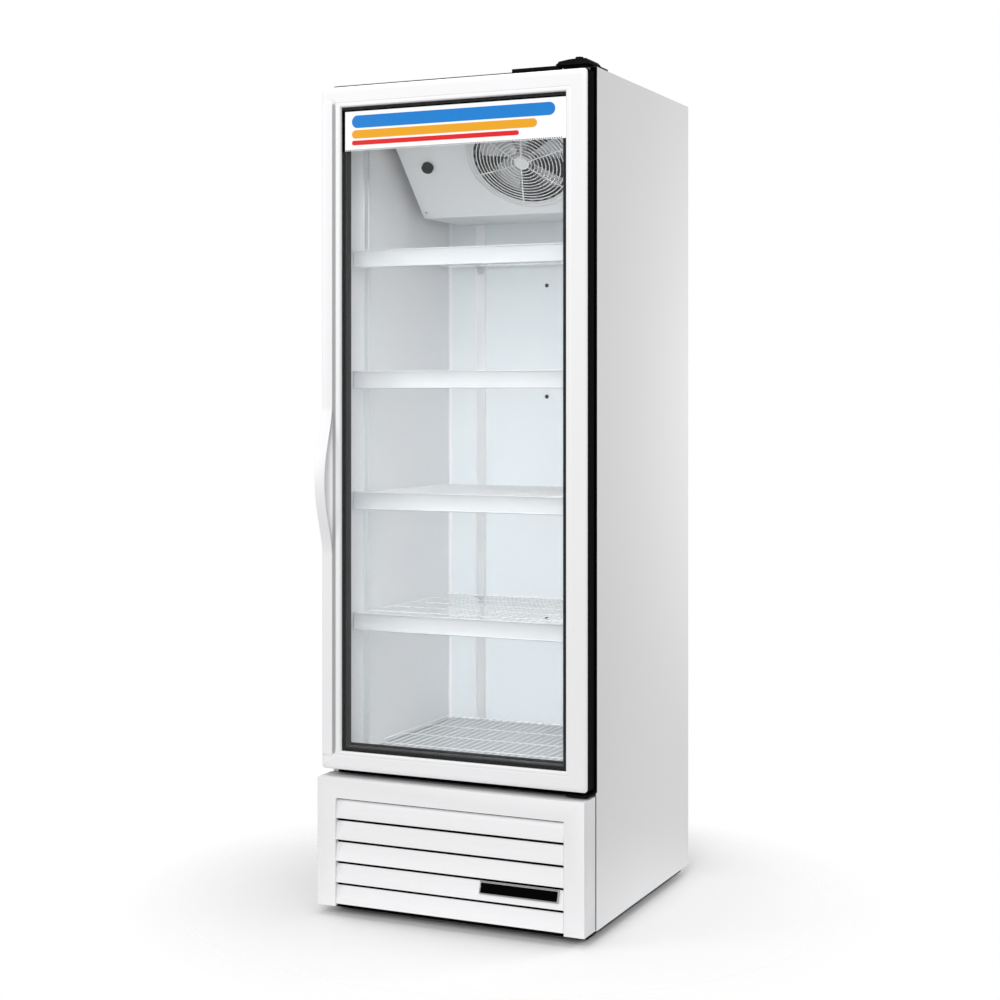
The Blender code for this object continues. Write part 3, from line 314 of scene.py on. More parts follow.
@dataclass(frozen=True)
class RigidFoam(Finish):
    """Cut polyurethane foam: small closed cells."""

    def dress(self, graph: NodeGraph) -> None:
        """Darken and sink the middle of each cell."""
        cell = graph.cells(700.0)
        graph.tint(cell, shaded(self.color, 0.80), self.color)
        graph.relief(cell, 0.0003)


@dataclass(frozen=True)
class ClearGlass(Finish):
    """Polished glass that lets shadow rays through."""

    def dress(self, graph: NodeGraph) -> None:
        """Mix the glass with a clear shader for shadow rays."""
        graph.constant(Transmission_Weight=1.0, IOR=1.45)
        rays = graph.tree.nodes.new("ShaderNodeLightPath")
        graph.fade(rays.outputs["Is Shadow Ray"], self.color)


@dataclass(frozen=True)
class LitLens(Finish):
    """A frosted cover with lamps behind it, brighter over each lamp."""

    strength: float = 2.0
    lamp_pitch: float = 0.045

    def dress(self, graph: NodeGraph) -> None:
        """Light the cover, with a soft bright spot over each lamp."""
        graph.constant(Emission_Strength=self.strength)
        share = graph.math("FRACT", graph.math("DIVIDE", graph.along("Z"), self.lamp_pitch), 0.0)
        off_centre = graph.math("ABSOLUTE", graph.math("SUBTRACT", share, 0.5), 0.0)
        glow = graph.span(off_centre, (0.0, 0.5), (1.0, 0.72))
        graph.tint(glow, (0.0, 0.0, 0.0), self.color, "Emission Color")


WHITE_ENAMEL = PowderCoat("white_enamel", Slot.WHITE_COAT, (0.83, 0.83, 0.84), 0.34)
HOUSING_WHITE = PowderCoat("housing_white", Slot.WHITE_COAT, (0.78, 0.79, 0.80), 0.42)
LINER_PAINT = PowderCoat("liner_paint", Slot.LINER_WHITE, (0.83, 0.83, 0.84), 0.45, peel=450.0)
# The back wall's liner is the side walls' paint made darker and bluer: painted shade on the back wall.
REAR_LINER_SHADED = PowderCoat("rear_liner_painted_shade", Slot.LINER_WHITE, (0.70, 0.74, 0.765), 0.45, peel=450.0)
BRUSHED_STEEL = DrawnMetal("brushed_steel", Slot.STAINLESS, (0.60, 0.61, 0.62), 0.30)
PALE_FOAM = RigidFoam("pale_foam", Slot.FOAM, (0.80, 0.72, 0.50), 0.90)
BLACK_ENAMEL = PowderCoat(
    "black_enamel", Slot.BLACK_COAT, (0.004, 0.004, 0.004), 0.50, mottling=0.15, specular=0.04,
)
# Flat black that stands in for shade: painted shade in slot floors, screw recesses, the cord inlet's hole
# and under the louvre lips.
SLOT_SHADE = PowderCoat(
    "slot_shade", Slot.BLACK_COAT, (0.004, 0.004, 0.004), 0.80, mottling=0.10, specular=0.02,
)
BLACK_MOULDING = MouldedPlastic(
    "black_moulding", Slot.BLACK_PLASTIC, (0.002, 0.002, 0.002), 0.50, specular=0.02,
)
GLOSS_BLACK = GlossFilm(
    "gloss_black", Slot.BLACK_PLASTIC, (0.001, 0.001, 0.001), 0.20, contrast=0.06, specular=0.03,
)
DARK_SPACER = MouldedPlastic(
    "dark_spacer", Slot.BLACK_PLASTIC, (0.020, 0.021, 0.022), 0.50, specular=0.15,
)
SEAL_RUBBER = MouldedPlastic(
    "seal_rubber", Slot.GASKET_RUBBER, (0.007, 0.007, 0.007), 0.65, texture=500.0, specular=0.08,
)
DOOR_GLASS = ClearGlass("door_glass", Slot.CLEAR_GLASS, (0.985, 0.99, 0.99), 0.0, specular=0.2)
SIGN_FILM = GlossFilm("sign_film", Slot.SIGN_WHITE, (0.93, 0.93, 0.93), 0.22, contrast=0.01)
BAR_BLUE = GlossFilm("bar_blue", Slot.SIGN_WHITE, (0.005, 0.20, 0.60), 0.25)
BAR_AMBER = GlossFilm("bar_amber", Slot.SIGN_WHITE, (0.80, 0.36, 0.01), 0.25)
BAR_RED = GlossFilm("bar_red", Slot.SIGN_WHITE, (0.72, 0.012, 0.016), 0.25)
DOT_INK = GlossFilm("dot_ink", Slot.SIGN_WHITE, (0.03, 0.03, 0.03), 0.30, contrast=0.06)
DIPPED_WIRE = PowderCoat("dipped_wire", Slot.WIRE_COAT, (0.86, 0.86, 0.87), 0.30, peel=300.0, mottling=0.03)
PALE_RAIL = MouldedPlastic("pale_rail", Slot.RAIL_PLASTIC, (0.50, 0.51, 0.525), 0.32, contrast=0.015)
# Mid grey that stands for the shadow in the handle groove: painted shade.
GROOVE_SHADE_GREY = MouldedPlastic(
    "groove_painted_shade", Slot.RAIL_PLASTIC, (0.36, 0.36, 0.37), 0.50, contrast=0.02, specular=0.1,
)
PALE_ZINC = DrawnMetal("pale_zinc", Slot.GALVANISED, (0.86, 0.87, 0.88), 0.42, (500.0, 500.0, 6.0), 0.06)
ZINC_SHEET = ZincCoat("zinc_sheet", Slot.GALVANISED, (0.56, 0.57, 0.59), 0.40)
ZINC_SCREW = DrawnMetal("zinc_screw", Slot.GALVANISED, (0.62, 0.63, 0.65), 0.28, (300.0, 300.0, 300.0))
MILL_ALUMINIUM = DrawnMetal("mill_aluminium", Slot.ALUMINIUM, (0.70, 0.71, 0.72), 0.32, (8.0, 500.0, 500.0))
FIN_ALUMINIUM = DrawnMetal(
    "fin_aluminium", Slot.ALUMINIUM, (0.74, 0.75, 0.76), 0.36, (90.0, 90.0, 300.0), 0.14,
)
BRIGHT_TRIM = DrawnMetal("bright_trim", Slot.ALUMINIUM, (0.82, 0.83, 0.84), 0.14, (8.0, 300.0, 300.0), 0.04)
BARE_COPPER = DrawnMetal("bare_copper", Slot.COPPER, (0.72, 0.38, 0.24), 0.30, (150.0, 150.0, 150.0), 0.18)
LAMP_LENS = LitLens("lamp_lens", Slot.LIGHT_LENS, (0.95, 0.975, 1.0), 0.30)


# ---------------------------------------------------------------- surfaces


@dataclass(frozen=True)
class Extent:
    """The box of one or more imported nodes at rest."""

    low: Array
    high: Array

    @property
    def centre(self) -> Array:
        """Return the middle of the box."""
        return (self.low + self.high) / 2

    @property
    def size(self) -> Array:
        """Return the box's width, depth and height."""
        return self.high - self.low


def extent(*nodes: str) -> Extent:
    """Return the box that holds the named nodes."""
    corners = [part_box(node) for node in nodes]
    low = np.min([np.array(pair[0]) for pair in corners], axis=0)
    high = np.max([np.array(pair[1]) for pair in corners], axis=0)
    return Extent(low, high)


FRONT_Y = float(extent("side_panel_left").low[1])


@dataclass
class Patch:
    """Points, and groups of faces that join them, each group with its tone (a material's number)."""

    points: Array
    groups: list[tuple[Array, int]]

    def toned(self, tone: int) -> "Patch":
        """Return the patch with all its faces in one tone."""
        return Patch(self.points, [(faces, tone) for faces, _ in self.groups])

    def moved(self, offset: Sequence[float]) -> "Patch":
        """Return the patch moved by an offset."""
        return Patch(self.points + np.asarray(offset, float), self.groups)

    def set_in(self, origin: Array, across: Array, up: Array, out: Array) -> "Patch":
        """Return the patch with its x, y and z carried to three directions about an origin."""
        basis = np.stack([across, up, out])
        return Patch(self.points @ basis + origin, self.groups)


def joined(patches: Iterable[Patch]) -> Patch:
    """Return one patch that holds several."""
    points, groups, count = [], [], 0
    for patch in patches:
        points.append(patch.points)
        groups += [(faces + count, tone) for faces, tone in patch.groups]
        count += len(patch.points)
    return Patch(np.concatenate(points), groups)


def repeated(patch: Patch, offsets: Array) -> Patch:
    """Return copies of a patch at each of several offsets: point (k, i) = point i + offset k."""
    count = len(patch.points)
    points = (patch.points[None, :, :] + offsets[:, None, :]).reshape(-1, 3)
    steps = np.arange(len(offsets)) * count
    groups = []
    for faces, tone in patch.groups:
        groups.append(((faces[None, :, :] + steps[:, None, None]).reshape(-1, faces.shape[1]), tone))
    return Patch(points, groups)


def lattice(points: Array, wrap_rows: bool = False, wrap_columns: bool = False) -> Patch:
    """Join a grid of points into quads: quad (i, j) has corners (i, j), (i+1, j), (i+1, j+1), (i, j+1).

    Args:
        points: an array of rows by columns by 3.
        wrap_rows: whether the last row joins the first.
        wrap_columns: whether the last column joins the first.

    Returns:
        The patch.
    """
    rows, columns = points.shape[:2]
    quad_rows = rows if wrap_rows else rows - 1
    quad_columns = columns if wrap_columns else columns - 1
    i, j = np.meshgrid(np.arange(quad_rows), np.arange(quad_columns), indexing="ij")
    below, beside = (i + 1) % rows, (j + 1) % columns
    corners = [i * columns + j, below * columns + j, below * columns + beside, i * columns + beside]
    return Patch(points.reshape(-1, 3), [(np.stack(corners, -1).reshape(-1, 4), 0)])


def end_caps(rows: int, columns: int) -> Array:
    """Return the two faces that close the first and the last ring of a grid."""
    ring = np.arange(columns)
    return np.stack([ring[::-1], ring + (rows - 1) * columns])


def closed_sheet(face: Array, back: Array) -> Patch:
    """Join two grids of points, a sheet's face and its back, into one closed surface."""
    patch = lattice(np.concatenate([face, back[:, ::-1]], axis=1), wrap_columns=True)
    rows, columns = face.shape[:2]
    width = 2 * columns
    i = np.arange(columns - 1)
    for row in (0, rows - 1):
        start = row * width
        ends = [start + i, start + i + 1, start + width - 2 - i, start + width - 1 - i]
        patch.groups.append((np.stack(ends, -1), 0))
    return patch


def spaced(patch: Patch, x: Array) -> Patch:
    """Return copies of a patch, moved along +X by each of several distances."""
    return repeated(patch, np.stack([x, 0 * x, 0 * x], -1))


def unit(vectors: Array) -> Array:
    """Return vectors of length one."""
    return vectors / np.maximum(np.linalg.norm(vectors, axis=-1, keepdims=True), 1e-12)


def smoothstep(value: Array | float) -> Array:
    """Return 3t^2 - 2t^3 of a value held between 0 and 1."""
    t = np.clip(value, 0.0, 1.0)
    return t * t * (3 - 2 * t)


def swept(section: Array, origins: Array, across: Array, up: Array, closed: bool = False) -> Patch:
    """Carry a closed section along a path: point (i, j) = origin i + u_j * across i + v_j * up i.

    Args:
        section: the section's (u, v) points.
        origins: the path's points.
        across: the direction of u at each point, or one for all.
        up: the direction of v at each point, or one for all.
        closed: whether the path ends where it starts, so that no caps are needed.

    Returns:
        The patch, with flat caps on an open path.
    """
    across, up = np.broadcast_to(across, origins.shape), np.broadcast_to(up, origins.shape)
    points = origins[:, None] + section[None, :, :1] * across[:, None] + section[None, :, 1:] * up[:, None]
    patch = lattice(points, wrap_rows=closed, wrap_columns=True)
    if not closed:
        patch.groups.append((end_caps(len(origins), len(section)), 0))
    return patch


def bar(section: Array, start: Array, end: Array, across: Array, up: Array, steps: int = 1) -> Patch:
    """Carry a closed section along a straight line from start to end."""
    share = np.linspace(0.0, 1.0, steps + 1)[:, None]
    return swept(section, start + (end - start) * share, across, up)


def circle(radius: float, sides: int) -> Array:
    """Return (r cos a, r sin a) for evenly spaced angles a."""
    angle = np.linspace(0.0, 2 * math.pi, sides, endpoint=False)
    return radius * np.stack([np.cos(angle), np.sin(angle)], -1)


def tube(path: Array, radius: float, up: Array, sides: int = 8, closed: bool = False) -> Patch:
    """Carry a circle along a path, square to its tangent.

    Args:
        path: the path's points.
        radius: the tube's radius.
        up: a direction that the path never runs along.
        sides: the number of sides.
        closed: whether the path ends where it starts.

    Returns:
        The tube, capped if it is open.
    """
    if closed:
        tangent = np.roll(path, -1, axis=0) - np.roll(path, 1, axis=0)
    else:
        tangent = np.gradient(path, axis=0)
    across = unit(np.cross(tangent, up))
    lift = unit(np.cross(across, tangent))
    return swept(circle(radius, sides), path, across, lift, closed)


def wire(start: Sequence[float], end: Sequence[float], radius: float, sides: int = 8) -> Patch:
    """Return a straight round wire between two points."""
    start, end = np.asarray(start, float), np.asarray(end, float)
    along = unit(end - start)
    up = X_AXIS if abs(along[2]) > 0.9 else Z_AXIS
    return tube(np.stack([start, end]), radius, up, sides)


def eased_corners(corners: Array, reach: float, steps: int = 6, closed: bool = False) -> Array:
    """Round a path's corners with parabolas: P(t) = (1-t)^2 A + 2t(1-t) C + t^2 B about corner C.

    Args:
        corners: the path's corners.
        reach: how far from its corner each parabola starts and ends.
        steps: points along each parabola, less one.
        closed: whether the path is a loop, so that its first and last corners are rounded too.

    Returns:
        The path's points.
    """
    before, after = np.roll(corners, 1, axis=0), np.roll(corners, -1, axis=0)
    start = corners + unit(before - corners) * reach
    end = corners + unit(after - corners) * reach
    t = np.linspace(0.0, 1.0, steps + 1)[None, :, None]
    arcs = (1 - t) ** 2 * start[:, None] + 2 * t * (1 - t) * corners[:, None] + t ** 2 * end[:, None]
    if closed:
        return arcs.reshape(-1, 3)
    return np.concatenate([corners[:1], arcs[1:-1].reshape(-1, 3), corners[-1:]])


def turned(profile: Array, base: Array, axis: Array, sides: int = 32, twist: Array | None = None) -> Patch:
    """Turn a profile about an axis: point (i, j) = base + s_i * axis + r_i * (cos a_j * e + sin a_j * f).

    Args:
        profile: (radius, distance) points; a radius of zero closes a pole.
        base: the point that distances start from.
        axis: the axis's direction.
        sides: the number of sides.
        twist: a factor for the radius at each point and angle, such as a thread's, or None.

    Returns:
        The turned patch.
    """
    helper = X_AXIS if abs(axis[0]) < 0.5 else Y_AXIS
    first = unit(np.cross(axis, helper))
    second = np.cross(axis, first)
    angle = np.linspace(0.0, 2 * math.pi, sides, endpoint=False)
    spin = np.cos(angle)[:, None] * first + np.sin(angle)[:, None] * second
    radius = np.repeat(profile[:, :1], sides, axis=1)
    if twist is not None:
        radius = radius * twist
    points = base + profile[:, 1][:, None, None] * axis + radius[:, :, None] * spin[None, :, :]
    return lattice(points, wrap_columns=True)


def domed(radius: float, height: float, steps: int = 5) -> Array:
    """Return a profile out from the axis and over a dome: (0, 0), then (r cos t, h sin t)."""
    t = np.linspace(0.0, math.pi / 2, steps + 1)
    return np.concatenate([[[0.0, 0.0]], np.stack([radius * np.cos(t), height * np.sin(t)], -1)])


def level_loop(low: Sequence[float], high: Sequence[float], z: float) -> Array:
    """Return a level rectangle's corners, from its lowest and highest (x, y)."""
    x, y = (low[0], high[0]), (low[1], high[1])
    return np.array([[x[0], y[0], z], [x[1], y[0], z], [x[1], y[1], z], [x[0], y[1], z]])


def cross_rods(x: tuple[float, float], y: Array, z: float, radius: float) -> list[Patch]:
    """Return a rod from one x to another at each y."""
    return [wire((x[0], depth, z), (x[1], depth, z), radius) for depth in y]


def block(low: Sequence[float], high: Sequence[float]) -> Patch:
    """Return a box between two corners."""
    low, high = np.asarray(low, float), np.asarray(high, float)
    floor = np.array([[0, 0, 0], [1, 0, 0], [1, 1, 0], [0, 1, 0]])
    pick = np.concatenate([floor, floor + [0, 0, 1]])
    faces = np.array([[0, 3, 2, 1], [4, 5, 6, 7], [0, 1, 5, 4], [1, 2, 6, 5], [2, 3, 7, 6], [3, 0, 4, 7]])
    return Patch(np.where(pick == 1, high, low), [(faces, 0)])


def rounded_section(width: float, height: float, radius: float, steps: int = 4) -> Array:
    """Return a rectangle about (0, 0) whose corners are arcs: centre (+-a, +-b) + r (cos t, sin t)."""
    corner = np.repeat(np.arange(4), steps + 1)
    angle = math.pi / 2 * (corner + np.tile(np.linspace(0.0, 1.0, steps + 1), 4))
    sign_u = np.where((corner == 0) | (corner == 3), 1.0, -1.0)
    sign_v = np.where(corner < 2, 1.0, -1.0)
    u = sign_u * (width / 2 - radius) + radius * np.cos(angle)
    v = sign_v * (height / 2 - radius) + radius * np.sin(angle)
    return np.stack([u, v], -1)


def ring_band(low: Array, high: Array, radius: float, section: Array, steps: int = 5) -> Patch:
    """Carry a section round an upright rectangle whose corners are arcs.

    Row i of the grid is the rectangle drawn in by u_i, with corner radius max(r - u_i, 0.4 mm),
    at y = v_i.

    Args:
        low: the rectangle's lowest (x, z).
        high: the rectangle's highest (x, z).
        radius: the rectangle's corner radius.
        section: (distance inward, y) points of a closed section.
        steps: quads in each corner.

    Returns:
        The ring.
    """
    middle, half = (low + high) / 2, (high - low) / 2
    rows = []
    for inward, y in section:
        loop = rounded_section(*(2 * (half - inward)), max(radius - inward, 0.0004), steps) + middle
        rows.append(np.stack([loop[:, 0], np.full(len(loop), y), loop[:, 1]], -1))
    return lattice(np.stack(rows), wrap_rows=True, wrap_columns=True)


def flat_plate(outline: Array, front: float, back: float) -> Patch:
    """Return an upright plate from an outline of (x, z) points, between two values of y."""
    origin = np.array([[0.0, front, 0.0], [0.0, back, 0.0]])
    return swept(outline, origin, X_AXIS, Z_AXIS)


def stadium(low: Array, high: Array, steps: int = 12) -> Array:
    """Return a bar's outline with half-round ends: centres at each end, radius half the height."""
    radius = (high[1] - low[1]) / 2
    section = rounded_section(high[0] - low[0], 2 * radius, radius * 0.999, steps)
    return section + (low + high) / 2


# ---------------------------------------------------------------- making pieces


def mesh_of(name: str, patch: Patch) -> bpy.types.Mesh:
    """Put a patch into a new mesh, weld its seams and poles, and turn its faces outward."""
    mesh = bpy.data.meshes.new(name)
    mesh.vertices.add(len(patch.points))
    mesh.vertices.foreach_set("co", patch.points.astype(np.float32).ravel())
    loops = np.concatenate([faces.ravel() for faces, _ in patch.groups])
    totals = np.concatenate([np.full(len(faces), faces.shape[1]) for faces, _ in patch.groups])
    tones = np.concatenate([np.full(len(faces), tone) for faces, tone in patch.groups])
    mesh.loops.add(len(loops))
    mesh.loops.foreach_set("vertex_index", loops.astype(np.int32))
    mesh.polygons.add(len(totals))
    mesh.polygons.foreach_set("loop_start", np.concatenate([[0], np.cumsum(totals)[:-1]]).astype(np.int32))
    mesh.polygons.foreach_set("material_index", tones.astype(np.int32))
    mesh.update(calc_edges=True)
    shape = bmesh.new()
    shape.from_mesh(mesh)
    bmesh.ops.remove_doubles(shape, verts=shape.verts, dist=WELD)
    bmesh.ops.recalc_face_normals(shape, faces=shape.faces)
    shape.to_mesh(mesh)
    shape.free()
    return mesh


def finished(
    name: str, mesh: bpy.types.Mesh, finishes: Finish | Sequence[Finish], body: str,
    stands_for: Sequence[str] = (), bevel: float = 0.0, crease: float = 35.0,
) -> bpy.types.Object:
    """Turn a mesh into a piece that rides on a body.

    Args:
        name: the piece's name.
        mesh: its mesh, in place.
        finishes: its finish, or one for each tone.
        body: the body that it moves with.
        stands_for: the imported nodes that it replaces.
        bevel: the width of the bevel on its edges, or 0 for none.
        crease: the angle in degrees past which an edge stays sharp.

    Returns:
        The object.
    """
    finishes = [finishes] if isinstance(finishes, Finish) else list(finishes)
    mesh.materials.clear()
    for finish in finishes:
        mesh.materials.append(finish.material())
    mesh.shade_smooth()
    item = bpy.data.objects.new(name, mesh)
    bpy.context.scene.collection.objects.link(item)
    if bevel:
        edge = item.modifiers.new("edge", "BEVEL")
        edge.width = bevel
        edge.segments = 2
        edge.limit_method = "ANGLE"
        edge.angle_limit = math.radians(crease)
        edge.harden_normals = True
    else:
        mesh.set_sharp_from_angle(angle=math.radians(crease))
    if stands_for:
        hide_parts(*stands_for)
    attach(item, body)
    LOG.info("%s rides on %s, %d faces", name, body, len(mesh.polygons))
    return item


def made(
    name: str, patches: Patch | Sequence[Patch], finishes: Finish | Sequence[Finish], body: str,
    stands_for: Sequence[str] = (), bevel: float = 0.0, crease: float = 35.0,
) -> bpy.types.Object:
    """Make a piece from one patch or several.  The arguments are those of finished()."""
    patch = patches if isinstance(patches, Patch) else joined(patches)
    return finished(name, mesh_of(name, patch), finishes, body, stands_for, bevel, crease)


def softened(node: str, finish: Finish, body: str, bevel: float = 0.0008) -> bpy.types.Object:
    """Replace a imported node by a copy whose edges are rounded.

    Args:
        node: the node's name.
        finish: the copy's finish.
        body: the body that it moves with.
        bevel: the width of the rounding.

    Returns:
        The copy.
    """
    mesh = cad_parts[node].data.copy()
    shape = bmesh.new()
    shape.from_mesh(mesh)
    bmesh.ops.remove_doubles(shape, verts=shape.verts, dist=WELD)
    bmesh.ops.dissolve_limit(shape, angle_limit=math.radians(0.5), verts=shape.verts, edges=shape.edges)
    shape.to_mesh(mesh)
    shape.free()
    return finished(f"{node}.soft", mesh, finish, body, (node,), bevel)


def dressed(finish: Finish, *nodes: str) -> None:
    """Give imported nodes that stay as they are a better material."""
    for node in nodes:
        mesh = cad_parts[node].data
        mesh.materials.clear()
        mesh.materials.append(finish.material())
        LOG.info("%s keeps its shape and is finished in %s", node, finish.name)


def screw_head(radius: float, height: float, sides: int = 20) -> Patch:
    """Return a pan head on z = 0: radius r cos t, height h sin t, with a black cross just proud of its
    crown, painted shade for the cross recess.
    """
    head = turned(domed(radius, height, 6), np.zeros(3), Z_AXIS, sides)
    arm = radius * 0.55
    bars = [((-arm, -arm / 5), (arm, arm / 5)), ((-arm / 5, -arm), (arm / 5, arm))]
    # The cross is painted shade: black blocks where the recess of a cross head would be dark.
    cross = [block((*low, height * 0.9), (*high, height * 1.004)).toned(1) for low, high in bars]
    return joined([head, *cross])


def screws(
    name: str, points: Array, out: Array, body: str, radius: float = 0.0035, height: float = 0.0016
) -> bpy.types.Object:
    """Place pan-head screws at points, facing out."""
    helper = Z_AXIS if abs(out[2]) < 0.5 else X_AXIS
    across = unit(np.cross(helper, out))
    head = screw_head(radius, height).set_in(np.zeros(3), across, np.cross(out, across), out)
    heads = repeated(head, np.asarray(points, float))
    return made(name, heads, (ZINC_SCREW, SLOT_SHADE), body, crease=50.0)


# ---------------------------------------------------------------- the door


@dataclass
class DoorBezel:
    """The door's white front frame: four mitred members round the glass."""

    corner_radius: float = 0.009
    square_share: float = 0.6
    least_radius: float = 0.0006
    arc_steps: int = 6
    run_steps: int = 72
    mitre_gap: float = 0.00004
    roll_share: float = 0.26
    roll_depth: float = 0.0045
    wall_depth: float = 0.0050
    bead: tuple[float, float, float] = (0.74, 0.84, 0.0006)
    inner_roll: tuple[float, float] = (0.93, 0.0042)
    rebate_share: float = 0.72
    wall_share: float = 0.045
    pocket_depth: float = 0.0036
    pocket_shares: tuple[float, float] = (0.035, 0.640)
    pocket_fades: tuple[float, float] = (0.02, 0.07)
    groove_depth: float = 0.0034
    groove_shares: tuple[float, float] = (0.550, 0.690)
    groove_fades: tuple[float, float] = (0.02, 0.06)
    # The grey strip in the handle groove below is painted shade.
    groove_shade_shares: tuple[float, float] = (0.550, 0.700)
    groove_shade_depth: float = 0.0026
    groove_shade_inset: float = 0.010
    groove_shade_sheet: float = 0.0030
    pocket_end: float = 0.004
    handle_trim: float = 0.008
    edge_band_width: float = 0.0019
    outer: Extent = field(init=False)
    members: dict[str, int] = field(init=False)

    def __post_init__(self) -> None:
        """Read the door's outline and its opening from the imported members."""
        self.members = {
            "door_stile_hinge_side": 0, "door_rail_top": 90,
            "door_stile_handle_side": 180, "door_rail_bottom": 270,
        }
        self.outer = extent(*self.members)
        self.opening_half = float(extent("door_stile_hinge_side").low[0])
        self.opening_top = float(extent("door_rail_top").low[2])
        self.opening_bottom = float(extent("door_rail_bottom").high[2])
        self.band = extent("door_handle")

    def section(self) -> tuple[Array, Array, int]:
        """Work out a member's section.

        The outer edge is a quarter ellipse, (w (1 - cos t), d (1 - sin t)).  The bead is one
        cosine dip, and the edge by the glass falls off as a square.

        Returns:
            Each point's share of the member's width, its y, and how many points lie on the face.
        """
        front, back = self.outer.low[1], self.outer.high[1]
        wall = front + self.wall_depth
        rebate = extent("glass_outer").low[1] - HAIRLINE
        t = np.linspace(0.0, math.pi / 2, 9)
        roll = np.stack([self.roll_share * (1 - np.cos(t)), front + self.roll_depth * (1 - np.sin(t))], -1)
        share = np.linspace(self.roll_share, 1.0, 74)[1:]
        start, end, dip = self.bead
        depth = dip * (1 - np.cos(2 * math.pi * np.clip((share - start) / (end - start), 0, 1))) / 2
        roll_start, roll_drop = self.inner_roll
        fall = np.clip((share - roll_start) / (1 - roll_start), 0, 1) ** 2 * roll_drop
        face = np.concatenate([roll, np.stack([share, front + depth + fall], -1)])
        behind = [
            [1.0, rebate], [self.rebate_share, rebate], [self.rebate_share, back], [self.wall_share, back],
            [self.wall_share, wall], [0.0, wall],
        ]
        section = np.concatenate([face, behind])
        return section[:, 0], section[:, 1], len(face)

    def pocket(self, share: Array, z: Array) -> Array:
        """Return how deep the handle's pocket is, with the deeper groove beside the handle.

        Each is a product of four smooth steps: two across the member and two along it.
        """
        low, high = self.band.low[2] + self.handle_trim, self.band.high[2] - self.handle_trim
        along = smoothstep((z - low + self.pocket_end) / self.pocket_end)
        along = along * (1 - smoothstep((z - high) / self.pocket_end))
        depth = 0.0
        for sink, (enter, leave), (rise, fall) in (
            (self.pocket_depth, self.pocket_shares, self.pocket_fades),
            (self.groove_depth, self.groove_shares, self.groove_fades),
        ):
            across = smoothstep((share - enter) / rise) * (1 - smoothstep((share - leave) / fall))
            depth = depth + sink * across * along
        return depth

    def member(self, middle: int) -> Patch:
        """Carry the section from one mitre to the next.

        At share u the outline is a rectangle drawn in by u times each member's width.  Its corner
        radius falls from R at the outer edge to 0.6 mm at square_share and beyond.  A member runs
        from the middle of one corner's arc to the middle of the next one's.

        Args:
            middle: the direction in degrees that the member faces, 0 being +X and 90 being +Z.

        Returns:
            The member.
        """
        share, y, face_count = self.section()
        half = self.outer.high[0] + (self.opening_half - self.outer.high[0]) * share
        top = self.outer.high[2] + (self.opening_top - self.outer.high[2]) * share
        bottom = self.outer.low[2] + (self.opening_bottom - self.outer.low[2]) * share
        radius = np.maximum(self.corner_radius * (1 - share / self.square_share), self.least_radius)
        ends = []
        for sweep_from, sweep_to in ((middle - 45, middle), (middle, middle + 45)):
            angle = np.radians(np.linspace(sweep_from, sweep_to, self.arc_steps + 1))[:, None]
            quadrant = math.radians((sweep_from + sweep_to) / 2)
            centre_x = math.copysign(1.0, math.cos(quadrant)) * (half - radius)
            centre_z = top - radius if math.sin(quadrant) > 0 else bottom + radius
            x, z = centre_x + radius * np.cos(angle), centre_z + radius * np.sin(angle)
            ends.append(np.stack([x, np.broadcast_to(y, x.shape), z], -1))
        run = np.linspace(0.0, 1.0, self.run_steps + 1)[1:-1, None, None]
        straight = ends[0][-1] + (ends[1][0] - ends[0][-1]) * run
        points = np.concatenate([ends[0], straight, ends[1]])
        if middle == 180:
            dip = self.pocket(share[None, :face_count], points[:, :face_count, 2])
            points[:, :face_count, 1] += dip
        along = np.array([-math.sin(math.radians(middle)), 0.0, math.cos(math.radians(middle))])
        points[0] += along * self.mitre_gap
        points[-1] -= along * self.mitre_gap
        patch = lattice(points, wrap_columns=True)
        patch.groups.append((end_caps(len(points), len(share)), 0))
        return patch

    def build(self) -> None:
        """Make the four members, and the black band behind their outer edge."""
        for node, middle in self.members.items():
            made(f"{node}.skin", self.member(middle), WHITE_ENAMEL, "door", (node,), crease=40.0)
        inset = 2 * HAIRLINE
        low, high = self.outer.low[[0, 2]] + inset, self.outer.high[[0, 2]] - inset
        front, back = self.outer.low[1] + self.wall_depth + HAIRLINE, self.outer.high[1]
        width = self.edge_band_width
        section = np.array([[0.0, front], [width, front], [width, back], [0.0, back]])
        band = ring_band(low, high, self.corner_radius - inset, section, 8)
        made("door_edge_band", band, BLACK_MOULDING, "door")
        self.build_groove_shade()

    def build_groove_shade(self) -> None:
        """Lay a grey strip with rounded ends along the bottom of the groove beside the handle: painted shade
        for the groove.
        """
        half = self.outer.high[0] + (self.opening_half - self.outer.high[0]) * np.array(self.groove_shade_shares)
        low, high = self.band.low[2] + self.groove_shade_inset, self.band.high[2] - self.groove_shade_inset
        width = abs(half[1] - half[0])
        outline = rounded_section(width, high - low, 0.499 * width, 8) + [-half.mean(), (low + high) / 2]
        front = self.outer.low[1] + self.groove_shade_depth
        strip = flat_plate(outline, front, front + self.groove_shade_sheet)
        made("door_groove_shade", strip, GROOVE_SHADE_GREY, "door")


